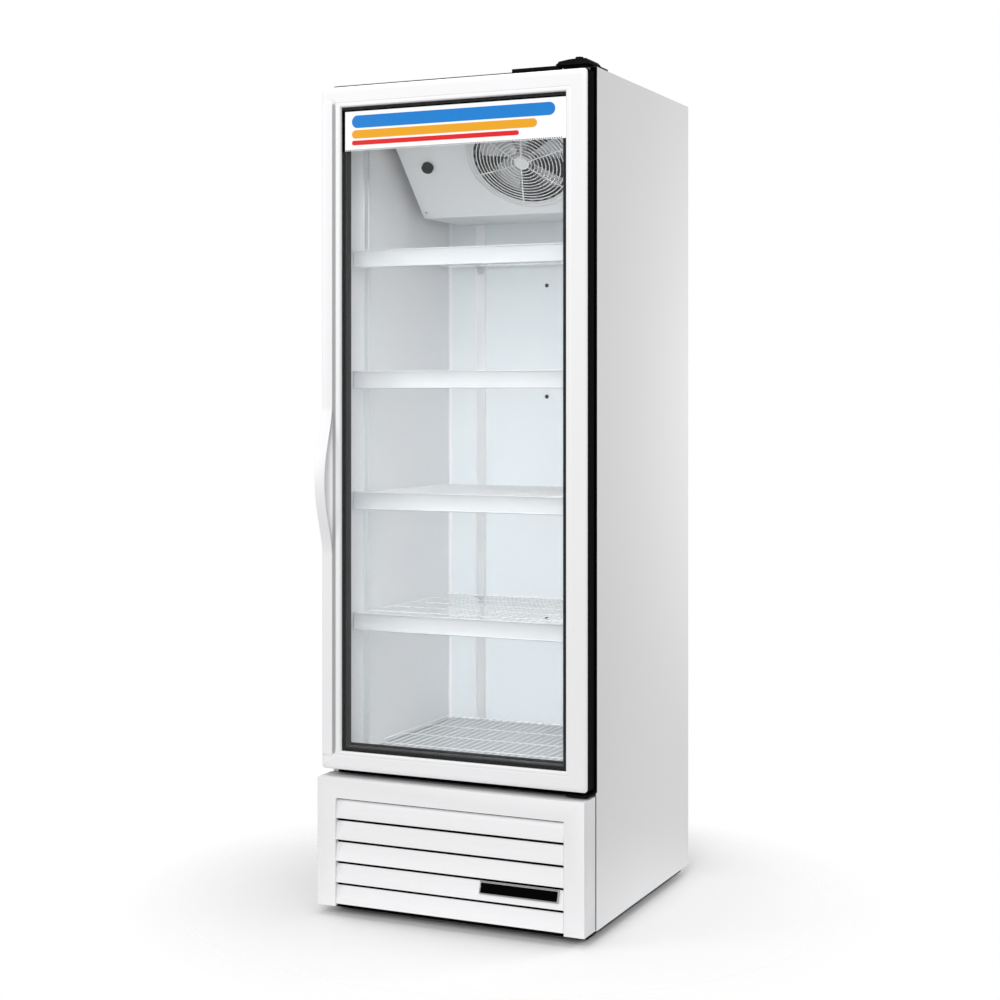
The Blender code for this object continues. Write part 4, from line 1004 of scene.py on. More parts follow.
@dataclass
class DoorHandle:
    """The band that runs down the handle-side stile and bows forward at hand height."""

    thickness: float = 0.0032
    edge_radius: float = 0.0013
    bow_centre: float = 1.040
    bow_length: float = 0.352
    steps: int = 96

    def build(self) -> None:
        """Carry a rounded strip up the line y = front - h cos(pi s)^1.5, s from -1/2 to 1/2 over the bow."""
        box = extent("door_handle")
        flush = extent("door_stile_handle_side").low[1]
        height = flush - box.low[1]
        run = np.linspace(-0.5, 0.5, self.steps + 1)
        trim = DoorBezel().handle_trim
        ends = [[box.low[2] + trim], [box.high[2] - trim]]
        z = np.concatenate([ends[0], self.bow_centre + self.bow_length * run, ends[1]])
        share = np.clip((z - self.bow_centre) / self.bow_length, -0.5, 0.5)
        y = flush - height * np.maximum(np.cos(math.pi * share), 0.0) ** 1.5
        tangent = unit(np.stack([np.zeros_like(z), np.gradient(y, z), np.ones_like(z)], -1))
        inward = np.cross(tangent, X_AXIS)
        middle = np.stack([np.full_like(z, box.centre[0]), y, z], -1) + inward * self.thickness / 2
        width = box.size[0] - HAIRLINE
        section = rounded_section(width, self.thickness, self.edge_radius)
        band = swept(section, middle, X_AXIS, inward)
        made("door_handle.skin", band, WHITE_ENAMEL, "door", ("door_handle",))


@dataclass
class DoorGlazing:
    """What shows in and round the two panes: the dark border, the spacer and the rear bead."""

    border_width: float = 0.0085
    border_film: float = 0.0001
    under_bezel: float = 0.004
    spacer_width: float = 0.0055
    spacer_reveal: float = 0.0052
    spacer_gap: float = 0.0008
    bead_width: float = 0.0080
    corner_radius: float = 0.003

    def opening(self, inset: float, upright_inset: float) -> tuple[Array, Array]:
        """Return the bezel's opening, drawn in by one distance across and by another up and down."""
        bezel = DoorBezel()
        low = np.array([-bezel.opening_half + inset, bezel.opening_bottom + upright_inset])
        high = np.array([bezel.opening_half - inset, bezel.opening_top - upright_inset])
        return low, high

    def ring(self, name: str, low: Array, high: Array, section: Array, finish: Finish) -> None:
        """Make one ring round the glass."""
        made(name, ring_band(low, high, self.corner_radius, section), finish, "door")

    def filled(self, width: float, front: float, back: float, radius: float) -> Array:
        """Return a rounded section from the ring's outer edge inward, between two values of y."""
        return rounded_section(width, back - front, radius) + [width / 2, (front + back) / 2]

    def build(self) -> None:
        """Dress the panes and ring them."""
        dressed(DOOR_GLASS, "glass_outer", "glass_inner")
        softened("door_inner_frame", BLACK_MOULDING, "door", 0.0012)
        front, rear = extent("glass_outer"), extent("glass_inner")
        width = self.border_width + self.under_bezel
        near = front.high[1] + 0.0001
        far = near + self.border_film
        border = np.array([[0.0, near], [width, near], [width, far], [0.0, far]])
        self.ring("glass_border", *self.opening(-self.under_bezel, -self.under_bezel), border, GLOSS_BLACK)

        between = (front.high[1] + self.spacer_gap, rear.low[1] - self.spacer_gap)
        spacer = self.filled(self.spacer_width, *between, 0.001)
        corners = self.opening(self.spacer_reveal, self.spacer_reveal + 0.0005)
        self.ring("glass_spacer", *corners, spacer, DARK_SPACER)

        behind = (rear.high[1] + HAIRLINE, extent("door_inner_frame").high[1] - HAIRLINE)
        bead = self.filled(self.bead_width, *behind, 0.003)
        self.ring("glass_rear_bead", rear.low[[0, 2]], rear.high[[0, 2]], bead, BLACK_MOULDING)


@dataclass
class DoorSeal:
    """The magnetic gasket: a hollow bellows with a pinched waist."""

    inner_edge: float = 0.3155
    waist: float = 0.30
    points: int = 28

    def build(self) -> None:
        """Ring the door with the section (W / 2 (1 - cos a), h sin a (1 - w sin^2 a))."""
        box = extent("door_gasket")
        width = box.high[0] - self.inner_edge
        angle = np.linspace(0.0, 2 * math.pi, self.points, endpoint=False)
        half = box.size[1] / 2
        lift = np.sin(angle) * (1 - self.waist * np.sin(angle) ** 2)
        lift = lift / np.abs(lift).max() * half
        section = np.stack([width / 2 * (1 - np.cos(angle)), box.centre[1] + lift], -1)
        ring = ring_band(box.low[[0, 2]], box.high[[0, 2]], 0.004, section)
        made("door_gasket.bellows", ring, SEAL_RUBBER, "door", ("door_gasket",), crease=60.0)


@dataclass
class SignPanel:
    """The white panel across the top of the glass, with three plain bars and a row of dots."""

    margin: float = 0.026
    film: float = 0.0004
    first_drop: float = 0.0135
    bar_heights: tuple[float, float, float] = (0.030, 0.020, 0.011)
    bar_gap: float = 0.0050
    bar_step: float = 0.045
    black_side: float = 0.0075
    black_top: float = 0.0035
    dot_pitch: float = 0.0055
    dot_radius: float = 0.0016

    def build(self) -> None:
        """Make the white panel with its black edge, and lay its bars and dots on it."""
        box = extent("sign_panel")
        low, high = box.low + [self.black_side, 0, 0], box.high - [0, 0, self.black_top]
        made("sign_panel.face", block(low, high), SIGN_FILM, "door", ("sign_panel",))
        edges = [
            block(box.low, (low[0] - HAIRLINE, *box.high[1:])),
            block((low[0], box.low[1], high[2] + HAIRLINE), box.high),
        ]
        made("sign_edge", edges, GLOSS_BLACK, "door")
        face = box.low[1] - 0.0001
        left, right = box.low[0] + self.margin, box.high[0] - self.margin
        bars = {"upper": BAR_BLUE, "middle": BAR_AMBER, "lower": BAR_RED}
        top, step_in = box.high[2] - self.first_drop, 0.0
        for (name, finish), height in zip(bars.items(), self.bar_heights):
            outline = stadium(np.array([left, top - height]), np.array([right - step_in, top]))
            made(f"sign_bar_{name}", flat_plate(outline, face - self.film, face), finish, "door")
            top -= height + self.bar_gap
            step_in += self.bar_step
        count = int((box.size[0] - 2 * self.dot_pitch) / self.dot_pitch)
        x = (np.arange(count) - (count - 1) / 2) * self.dot_pitch
        z = box.low[2] + self.dot_radius + 0.0004
        dot = flat_plate(circle(self.dot_radius, 8), face - self.film / 2, face)
        offsets = np.stack([x, np.zeros(count), np.full(count, z)], -1)
        made("sign_dots", repeated(dot, offsets), DOT_INK, "door")


# ---------------------------------------------------------------- the cabinet


@dataclass
class CabinetShell:
    """The outer sheets, the frame round the doorway, the base and the black trims."""

    sheet: float = 0.0016
    flange: float = 0.015
    rounding: float = 0.004
    press_depth: float = 0.0009
    press_margin: float = 0.030
    press_ease: float = 0.012
    rib_half: float = 0.016
    dimple_depth: float = 0.0012
    dimple_radius: float = 0.008
    screw_inset: float = 0.014
    trim: float = 0.0005
    trim_gap: float = 0.0001
    trim_foot: float = 0.008

    def side_section(self, sign: float, box: Extent) -> Array:
        """Return a side sheet's section: flat, a quarter circle at the front, and the flange."""
        outer = abs(box.low[0]) if sign < 0 else box.high[0]
        front, back = box.low[1], box.high[1]
        t = np.linspace(0.0, math.pi / 2, 11)
        corner = outer - self.rounding
        arc = np.stack([corner + self.rounding * np.cos(t), front + self.rounding * (1 - np.sin(t))], -1)
        inner_radius = self.rounding - self.sheet
        centre_y = front + self.rounding
        inner = np.stack([corner + inner_radius * np.sin(t), centre_y - inner_radius * np.cos(t)], -1)
        flange = outer - self.flange
        outline = np.concatenate([
            [[outer, back]], arc, [[flange, front], [flange, front + self.sheet]], inner,
            [[outer - self.sheet, back]],
        ])
        return outline * np.array([sign, 1.0])

    def build_sides(self) -> None:
        """Fold the two side sheets."""
        for side, sign in (("left", -1.0), ("right", 1.0)):
            node = f"side_panel_{side}"
            box = extent(node)
            section = self.side_section(sign, box)
            path = (np.array([0.0, 0.0, box.low[2]]), np.array([0.0, 0.0, box.high[2]]))
            made(f"{node}.sheet", bar(section, *path, X_AXIS, Y_AXIS), WHITE_ENAMEL, "cabinet", (node,))

    def build_back(self) -> None:
        """Press the back sheet: its field is sunk and crossed by ribs, with a dimple at each screw.

        The recess is a product of smooth steps at the margins, less one smooth hump for each rib.
        A Gaussian at each screw makes it deeper.
        """
        box = extent("back_panel")
        columns, rows = 72, 176
        x = np.linspace(box.low[0], box.high[0], columns)[None, :]
        z = np.linspace(box.low[2], box.high[2], rows)[:, None]
        near_side = np.minimum(x - box.low[0], box.high[0] - x)
        near_end = np.minimum(z - box.low[2], box.high[2] - z)
        field_share = smoothstep((near_side - self.press_margin) / self.press_ease)
        field_share = field_share * smoothstep((near_end - self.press_margin) / self.press_ease)
        ribs = box.low[2] + box.size[2] * np.array([0.25, 0.5, 0.75])
        hump = sum(1 - smoothstep(np.abs(z - rib) / self.rib_half) for rib in ribs)
        recess = self.press_depth * field_share * (1 - hump)
        heads = self.back_screws(box)
        for point in heads:
            distance = (x - point[0]) ** 2 + (z - point[2]) ** 2
            recess = np.maximum(recess, self.dimple_depth * np.exp(-distance / self.dimple_radius ** 2))
        outer = np.stack([x + 0 * z, box.high[1] - recess, z + 0 * x], -1)
        inner = outer.copy()
        inner[..., 1] = box.low[1]
        made("back_panel.pressed", closed_sheet(outer, inner), ZINC_SHEET, "cabinet", ("back_panel",))
        screws("back_panel_screws", heads, Y_AXIS, "cabinet", 0.0042, 0.0011)

    def trim_section(self, outer: float) -> Array:
        """Return a corner strip's section: flat along the flange, and fitted to the sheet's rounding."""
        t = np.linspace(math.pi / 2, 0.30, 8)
        reach = self.rounding + self.trim_gap
        corner = outer - self.rounding
        fitted = np.stack([corner + reach * np.cos(t), FRONT_Y + self.rounding - reach * np.sin(t)], -1)
        front, near, ease = FRONT_Y - self.trim, outer - self.flange, 2 * self.trim
        face = [[outer, fitted[-1, 1]], [outer, front + ease], [outer - ease, front], [near, front]]
        return np.concatenate([[[near, fitted[0, 1]]], fitted, face])

    def build_trims(self) -> None:
        """Face the side sheets' front corners and the top's front edge with thin black strips."""
        side, top = extent("side_panel_right"), extent("top_panel")
        low = Z_AXIS * (extent("front_grille").high[2] + self.trim_foot)
        high = Z_AXIS * (side.high[2] - self.trim)
        section = self.trim_section(side.high[0])
        strips = [bar(section * [sign, 1.0], low, high, X_AXIS, Y_AXIS) for sign in (-1.0, 1.0)]
        made("flange_trims", strips, BLACK_MOULDING, "cabinet")
        strip = block(
            (0.0035 - side.high[0], FRONT_Y - self.trim, top.high[2] + HAIRLINE),
            (extent("top_hinge").low[0] - 0.001, FRONT_Y + 0.012, top.high[2] + 0.0018),
        )
        made("top_trim", strip, BLACK_MOULDING, "cabinet", bevel=0.0004)

    def back_screws(self, box: Extent) -> Array:
        """Return the back sheet's screws: two columns, and a row along the bottom and the top."""
        low, high = box.low + self.screw_inset, box.high - self.screw_inset
        heights = np.linspace(low[2], high[2], 8)
        points = [(x, z) for x in (low[0], high[0]) for z in heights]
        points += [(x, z) for z in heights[[0, -1]] for x in np.linspace(low[0], high[0], 5)[1:-1]]
        return np.array([[x, box.high[1] - self.dimple_depth, z] for x, z in points])

    def build(self) -> None:
        """Make every outer piece of the cabinet."""
        self.build_sides()
        self.build_back()
        softened("top_panel", WHITE_ENAMEL, "cabinet", 0.0005)
        softened("base_frame", BLACK_ENAMEL, "cabinet", 0.0015)
        dressed(BLACK_MOULDING, "front_frame")
        self.build_trims()
        dressed(ZINC_SHEET, "compartment_deck")
        dressed(PALE_FOAM, "insulation_foam")
        box = extent("top_panel")
        x = np.linspace(box.low[0] + 0.020, box.high[0] - 0.020, 5)
        edge = [(value, box.high[1] - 0.012) for value in x]
        edge += [(side, y) for side in (x[0], x[-1]) for y in np.linspace(-0.12, 0.24, 3)]
        points = np.array([[value, y, box.high[2]] for value, y in edge])
        screws("top_panel_screws", points, Z_AXIS, "cabinet", 0.0045, 0.0020)


@dataclass
class Grille:
    """The louvred cover of the machine compartment and its plain badge."""

    badge_plate: float = 0.0017
    rim_width: float = 0.0030
    rim_height: float = 0.0007
    seam: float = 0.0075
    seam_inset: float = 0.0010
    seam_width: float = 0.0012
    stile: float = 0.050
    louvres: int = 5
    top_line: float = 0.283
    pitch: float = 0.0512
    slant: float = 0.014
    slope_head: float = 0.006
    slope_rise: float = 0.0512
    louvre_shade_span: tuple[float, float] = (-0.0040, 0.0045)

    def build_seam(self, cover: bpy.types.Object) -> None:
        """Draw the cover's rear edge forward, and fill the gap to the cabinet with set-in black strips,
        painted shade for the dark seam.
        """
        box = extent("front_grille")
        points = np.empty(len(cover.data.vertices) * 3, np.float32)
        cover.data.vertices.foreach_get("co", points)
        y = points[1::3]
        y[y > box.high[1] - HAIRLINE] -= self.seam
        cover.data.vertices.foreach_set("co", points)
        cover.data.update()
        front, back = box.high[1] - self.seam + HAIRLINE, box.high[1]
        side, top = box.high[0] - self.seam_inset, box.high[2] - self.seam_inset
        inner = side - self.seam_width
        bottom = box.low[2] + self.seam_inset
        # These black strips are painted shade for the dark gap behind the cover.
        strips = [
            block((inner, front, bottom), (side, back, top)),
            block((-side, front, bottom), (-inner, back, top)),
            block((HAIRLINE - inner, front, top - self.seam_width), (inner - HAIRLINE, back, top)),
        ]
        made("grille_seam_shade", strips, BLACK_MOULDING, "cabinet")

    def build_louvre_shades(self) -> None:
        """Lay a black strip along the head of each louvre, where it runs behind the one above: painted shade
        for the dark slot under each lip.
        """
        box = extent("front_grille")
        lip, half = box.low[1] + HAIRLINE, box.high[0] - self.stile - 0.0005
        slope = np.array([self.slant, self.slope_rise])
        for number in range(self.louvres):
            foot = np.array([lip, self.top_line - self.pitch * number + self.slope_head - self.slope_rise])
            heights = np.array(self.louvre_shade_span) + self.top_line - self.pitch * number
            line = foot + slope * ((heights - foot[1]) / self.slope_rise)[:, None]
            section = np.concatenate([line - [HAIRLINE, 0.0], line[::-1] - [HAIRLINE / 3, 0.0]])
            path = (-X_AXIS * half, X_AXIS * half)
            # Each strip is flat black: painted shade where the slot under the lip would be dark.
            made(f"louvre_shade_strip_{number + 1}", bar(section, *path, Y_AXIS, Z_AXIS), SLOT_SHADE, "cabinet")

    def build(self) -> None:
        """Round the cover's edges, and rim the badge."""
        self.build_seam(softened("front_grille", WHITE_ENAMEL, "cabinet", 0.0009))
        self.build_louvre_shades()
        dressed(GLOSS_BLACK, "badge_plate")
        box = extent("badge_plate")
        foot = np.array([0.0, box.low[1], box.low[2]])
        head = np.array([0.0, box.high[1] - self.badge_plate, box.high[2]])
        up = unit(head - foot)
        out = np.cross(X_AXIS, up)
        half = np.array([box.size[0], np.linalg.norm(head - foot)]) / 2
        section = rounded_section(self.rim_width, self.rim_height, 0.0003)
        section = section + np.array([self.rim_width / 2, -self.rim_height / 2 - 0.0001])
        rim = ring_band(-half, half, 0.002, section)
        centre = (foot + head) / 2 + X_AXIS * box.centre[0]
        made("badge_rim", rim.set_in(centre, X_AXIS, -out, up), BRIGHT_TRIM, "cabinet")


@dataclass
class Hinges:
    """The two hinge brackets, and the bolts and washers that show on the top one."""

    bolt_places: tuple[tuple[float, float], ...] = ((0.283, 0.0), (0.318, 0.006))
    crown_drop: float = 0.0055

    def build(self) -> None:
        """Round the brackets' edges and add their fasteners."""
        softened("top_hinge", BLACK_ENAMEL, "cabinet", 0.0010)
        softened("bottom_hinge", BLACK_ENAMEL, "cabinet", 0.0008)
        box = extent("top_hinge")
        crown = box.high[2] - self.crown_drop
        washer = [[0.0, 0.0], [0.0075, 0.0], [0.0075, 0.0008], [0.0052, 0.0008]]
        profile = np.concatenate([washer, domed(0.0052, 0.0032, 4)[1:] + [0.0, 0.0008]])
        bolt = turned(profile, np.zeros(3), Z_AXIS, 20)
        offsets = np.array([[x, FRONT_Y + depth, crown - 0.001] for x, depth in self.bolt_places])
        made("top_hinge_bolts", repeated(bolt, offsets), ZINC_SCREW, "cabinet", crease=45.0)


@dataclass
class LevelingFoot:
    """A screwed foot: a knurled pad and a threaded stem."""

    row: str
    side: str
    pitch: float = 0.0015
    stem_radius: float = 0.0047
    sides: int = 40

    def build(self) -> None:
        """Turn the foot, with factors on its radius at angle a.

        The pad's rim has 1 - 1% (1 + cos 20a), and the stem a helix, 1 + 5.5% cos(2 pi z / p - a).
        """
        node = f"leveler_{self.row}_{self.side}"
        box = extent(node)
        base = np.array([box.centre[0], box.centre[1], box.low[2]])
        pad = box.size[0] / 2
        top = box.size[2] - 0.0005
        stem = np.linspace(0.0060, top, 90)
        rim = [
            [0.0, 0.0], [pad - 0.0012, 0.0], [pad - 0.0002, 0.0008],
            [pad - 0.0002, 0.0036], [pad - 0.0015, 0.0048],
        ]
        thread_line = np.stack([np.full_like(stem, self.stem_radius), stem], -1)
        profile = np.concatenate([rim, [[0.0075, 0.0055], [0.0049, 0.0055]], thread_line, [[0.0, top]]])
        angle = np.linspace(0.0, 2 * math.pi, self.sides, endpoint=False)[None, :]
        twist = np.ones((len(profile), self.sides))
        twist[2:4] = 1 - 0.02 * (1 + np.cos(20 * angle)) / 2
        thread = slice(len(rim) + 2, len(profile) - 1)
        twist[thread] = 1 + 0.055 * np.cos(2 * math.pi * stem[:, None] / self.pitch - angle)
        foot = turned(profile, base, Z_AXIS, self.sides, twist)
        made(f"{node}.threaded", foot, ZINC_SCREW, f"foot_{self.row}_{self.side}", (node,), crease=50.0)


# ---------------------------------------------------------------- the cold compartment


@dataclass
class Pilaster:
    """A slotted upright, in a frame of its own: across the wall, up, and out of the wall."""

    node: str
    out: Array
    lip: float = 0.003
    slot_half: float = 0.0105
    slot_height: float = 0.005
    slot_pitch: float = 0.010
    floor: float = 0.0025
    slot_floor: float = 0.0006

    def build(self) -> None:
        """Carry a channel section up the wall, stepping to a slotted section at each slot.

        The front is h(u, z): the full height over the lips, 2.5 mm between them, and 0.6 mm in
        the slots.  Rows of points are doubled at each slot's edges, so its walls stand square.
        """
        box = extent(self.node)
        across = np.abs(np.cross(self.out, Z_AXIS))
        half = float(box.size @ across) / 2
        full = float(np.abs(box.size @ self.out))
        u = np.array([-half, -half, self.lip - half, self.lip - half, -self.slot_half, -self.slot_half])
        u = np.concatenate([u, -u[::-1]])
        plain = np.array([0.0, full, full, self.floor, self.floor, self.floor])
        cut = np.array([0.0, full, full, self.floor, self.floor, self.slot_floor])
        plain, cut = np.concatenate([plain, plain[::-1]]), np.concatenate([cut, cut[::-1]])
        first = box.low[2] + 0.012
        count = int((box.high[2] - first - self.slot_height - 0.006) / self.slot_pitch)
        foot = first + self.slot_pitch * np.arange(count)[:, None]
        rows = foot + np.array([0.0, 0.0, self.slot_height, self.slot_height])[None, :]
        z = np.concatenate([[box.low[2]], rows.ravel(), [box.high[2]]])
        slotted = np.concatenate([[False], np.tile([False, True, True, False], count), [False]])
        height = np.where(slotted[:, None], cut[None, :], plain[None, :])
        wall = box.centre.copy()
        wall[2] = 0.0
        wall = wall - self.out * full / 2
        points = wall + u[None, :, None] * across + z[:, None, None] * Z_AXIS + height[:, :, None] * self.out
        patch = lattice(points, wrap_columns=True)
        quads = patch.groups[0][0]
        row, column = np.divmod(np.arange(len(quads)), len(u))
        # The slot floors take the black second finish: painted shade for the depth of each slot.
        inside = slotted[row] & slotted[row + 1] & (column == len(u) // 2 - 1)
        patch.groups = [(quads[~inside], 0), (quads[inside], 1), (end_caps(len(z), len(u)), 0)]
        made(f"{self.node}.slotted", patch, (PALE_ZINC, SLOT_SHADE), "cabinet", (self.node,), crease=30.0)


@dataclass
class WireShelf:
    """One shelf: a frame of thick wire, thin wires from front to back, and the rail on its front."""

    number: int
    thin: float = 0.0012
    thick: float = 0.0024
    rod: float = 0.0014
    wire_count: int = 31
    rail_lip: float = 0.0036
    rail_cap: float = 0.0010

    def build(self) -> None:
        """Make the shelf's wires and its price rail."""
        body = f"shelf_{self.number}"
        node = f"wire_shelf_{self.number}"
        box = extent(node)
        low, high = box.low + self.thick, box.high - self.thick
        corners = level_loop(low, high, box.centre[2])
        edge = tube(eased_corners(corners, 0.012, 5, True), self.thick, Z_AXIS, 10, True)
        top = box.high[2] - self.thin
        thin = wire((0.0, low[1], top), (0.0, high[1], top), self.thin)
        wires = spaced(thin, np.linspace(low[0], high[0], self.wire_count + 2)[1:-1])
        depths = np.linspace(low[1], high[1], 6)[1:-1]
        rods = cross_rods((low[0], high[0]), depths, top - self.thin - 0.0013, self.rod)
        made(f"{node}.wires", [edge, wires, *rods], DIPPED_WIRE, body, (node,), crease=60.0)
        self.build_rail(body)

    def build_rail(self, body: str) -> None:
        """Carry the rail's section along the shelf: a channel between two rolled lips, with end caps."""
        node = f"price_rail_{self.number}"
        box = extent(node)
        front, back, bottom, top = box.low[1], box.high[1], box.low[2], box.high[2]
        t = np.linspace(0.0, math.pi, 9)
        lip = self.rail_lip
        y = front + lip / 2 * (1 - np.sin(t))
        upper = np.stack([y, top - lip / 2 + lip * np.cos(t) / 2], -1)
        lower = np.stack([y, bottom + lip / 2 + lip * np.cos(t) / 2], -1)
        channel = front + 0.0020
        face = [[channel, top - lip - 0.0004], [channel, bottom + lip + 0.0004]]
        section = np.concatenate([[[back, top]], upper, face, lower, [[back, bottom]]])
        ends = (box.low[0] + self.rail_cap + 0.0002, box.high[0] - self.rail_cap - 0.0002)
        strip = bar(section, X_AXIS * ends[0], X_AXIS * ends[1], Y_AXIS, Z_AXIS)
        caps = [block((x, front + 0.0004, bottom + 0.0004), (x + self.rail_cap, back, top - 0.0004))
                for x in (box.low[0], box.high[0] - self.rail_cap)]
        made(f"{node}.channel", [strip, *caps], PALE_RAIL, body, (node,), crease=40.0)


@dataclass
class Interior:
    """The liner, the slotted uprights, the shelf clips, the rack on the floor and the light."""

    clip_width: float = 0.014
    clip_sheet: float = 0.0018
    clip_leg: float = 0.020
    cove: float = 0.008
    rack_gap: float = 0.006
    rack_front: float = 0.046
    rack_back: float = 0.020
    rack_lift: float = 0.0085
    rack_thick: float = 0.0024
    rack_thin: float = 0.0013
    lens_seat: float = 0.0028
    channel_edge: float = 0.0014
    lamp_cap: float = 0.012
    plug_radius: float = 0.0055
    plug_drop: float = 0.055
    plug_columns: tuple[float, float] = (-0.03, 0.09)

    def build(self) -> None:
        """Make everything in the cold compartment but the evaporator."""
        dressed(LINER_PAINT, "liner_left", "liner_right", "liner_ceiling")
        # The back wall's darker, bluer paint is painted shade.
        dressed(REAR_LINER_SHADED, "liner_back")
        dressed(BRUSHED_STEEL, "liner_floor")
        self.build_coves()
        for side, sign in (("left", 1.0), ("right", -1.0)):
            Pilaster(f"pilaster_front_{side}", X_AXIS * sign).build()
            Pilaster(f"pilaster_rear_{side}", -Y_AXIS).build()
        for number in range(1, 5):
            WireShelf(number).build()
        self.build_clips()
        self.build_rack()
        self.build_light()
        self.build_plugs()

    def build_coves(self) -> None:
        """Fill the two rear corners with a hollow quarter round, (c + c cos t, c + c sin t)."""
        back = extent("liner_back")
        bottom = extent("liner_floor").high[2] + HAIRLINE
        top = extent("liner_ceiling").low[2] - 2 * HAIRLINE
        t = np.linspace(math.pi, 1.5 * math.pi, 8)
        curve = self.cove * (1 + np.stack([np.cos(t), np.sin(t)], -1))
        section = np.concatenate([[[0.0, 0.0]], curve])
        patches = []
        for node, sign in (("liner_left", 1.0), ("liner_right", -1.0)):
            wall = extent(node).high[0] if sign > 0 else extent(node).low[0]
            corner = np.array([wall + sign * HAIRLINE, back.low[1] - HAIRLINE, 0.0])
            path = (corner + Z_AXIS * bottom, corner + Z_AXIS * top)
            patches.append(bar(section, *path, X_AXIS * sign, -Y_AXIS))
        made("liner_corner_coves", patches, LINER_PAINT, "cabinet")

    def build_clips(self) -> None:
        """Hang an L-shaped clip on the uprights under each corner of each shelf."""
        patches = []
        for number in range(1, 5):
            shelf = extent(f"wire_shelf_{number}")
            top = shelf.low[2] - HAIRLINE
            for side, sign in (("left", 1.0), ("right", -1.0)):
                upright = extent(f"pilaster_front_{side}")
                face = upright.high[0] if sign > 0 else upright.low[0]
                origin = np.array([face + sign * HAIRLINE, upright.centre[1], top])
                patches.append(self.clip(origin, X_AXIS * sign, Y_AXIS, 0.013))
                rear = extent(f"pilaster_rear_{side}")
                origin = np.array([rear.centre[0], rear.low[1] - HAIRLINE, top])
                patches.append(self.clip(origin, -Y_AXIS, X_AXIS, 0.030))
        made("shelf_clips", patches, ZINC_SCREW, "cabinet", bevel=0.0004)

    def clip(self, origin: Array, out: Array, across: Array, reach: float) -> Patch:
        """Return one clip: a ledge under the shelf with a leg down the upright."""
        sheet, leg = self.clip_sheet, self.clip_leg
        section = np.array([
            [0.0, 0.0], [reach, 0.0], [reach, -sheet], [sheet, -sheet], [sheet, -leg], [0.0, -leg],
        ])
        half = across * self.clip_width / 2
        return bar(section, origin - half, origin + half, out, Z_AXIS)

    def build_rack(self) -> None:
        """Lay a wire rack on the floor, its front wires curled up over the sill's edge."""
        floor = extent("liner_floor")
        left = extent("liner_left").high[0] + self.rack_gap
        right = extent("liner_right").low[0] - self.rack_gap
        front, back = FRONT_Y + self.rack_front, extent("liner_back").low[1] - self.rack_back
        thick, thin = self.rack_thick, self.rack_thin
        level = floor.high[2] + self.rack_lift
        corners = level_loop((left, front), (right, back), level)
        edge = tube(eased_corners(corners, 0.014, 5, True), thick, Z_AXIS, 10, True)
        top = level + thick * 0.6
        curl = [[0.0, front - 0.004, top - 0.009], [0.0, front - 0.002, top + 0.001], [0.0, back, top]]
        path = eased_corners(np.array(curl), 0.004, 5)
        wires = spaced(tube(path, thin, X_AXIS), np.linspace(left, right, 32)[1:-1])
        rods = cross_rods((left, right), np.linspace(front, back, 5)[1:-1], level - 0.001, thin)
        legs = [wire((x, y, floor.high[2] + HAIRLINE), (x, y, level), thick)
                for x in (left + 0.05, right - 0.05) for y in (front, back)]
        made("floor_rack", [edge, wires, *rods, *legs], DIPPED_WIRE, "cabinet", crease=60.0)

    def build_light(self) -> None:
        """Make the light strip: a white channel, a lens with an elliptical face, and two end caps."""
        box = extent("led_light")
        height, middle = box.size[0], box.centre[1]
        half = box.size[1] / 2
        t = np.linspace(0.0, math.pi, 13)
        lens = np.stack([0.0012 + (height - 0.0016) * np.sin(t), (half - 0.0018) * np.cos(t)], -1)
        seat, inner = self.lens_seat, half - self.channel_edge
        channel = np.array([[0.0, half], [seat, half], [seat, inner], [0.0010, inner]])
        channel = np.concatenate([channel * [1.0, -1.0], channel[::-1]])
        low = np.array([box.low[0], middle, box.low[2]])
        high = np.array([box.low[0], middle, box.high[2]])
        cap = Z_AXIS * self.lamp_cap
        parts = [bar(channel, low + cap, high - cap, X_AXIS, Y_AXIS)]
        end = rounded_section(height, 2 * half, 0.0018) + [height / 2, 0]
        parts += [bar(end, start, start + cap, X_AXIS, Y_AXIS) for start in (low, high - cap)]
        made("led_light.channel", parts, HOUSING_WHITE, "cabinet", ("led_light",))
        lens_bar = bar(lens, low + cap + Z_AXIS * HAIRLINE, high - cap - Z_AXIS * HAIRLINE, X_AXIS, Y_AXIS)
        made("led_light.lens", lens_bar, LAMP_LENS, "cabinet")

    def build_plugs(self) -> None:
        """Set small domed plugs in the back wall."""
        wall = extent("liner_back").low[1] - HAIRLINE
        plug = turned(domed(self.plug_radius, 0.0015), np.zeros(3), -Y_AXIS, 18)
        levels = [extent(f"wire_shelf_{number}").low[2] - self.plug_drop for number in range(1, 5)]
        spots = np.array([[x, wall, z] for x in self.plug_columns for z in levels])
        made("back_wall_plugs", repeated(plug, spots), DARK_SPACER, "cabinet")


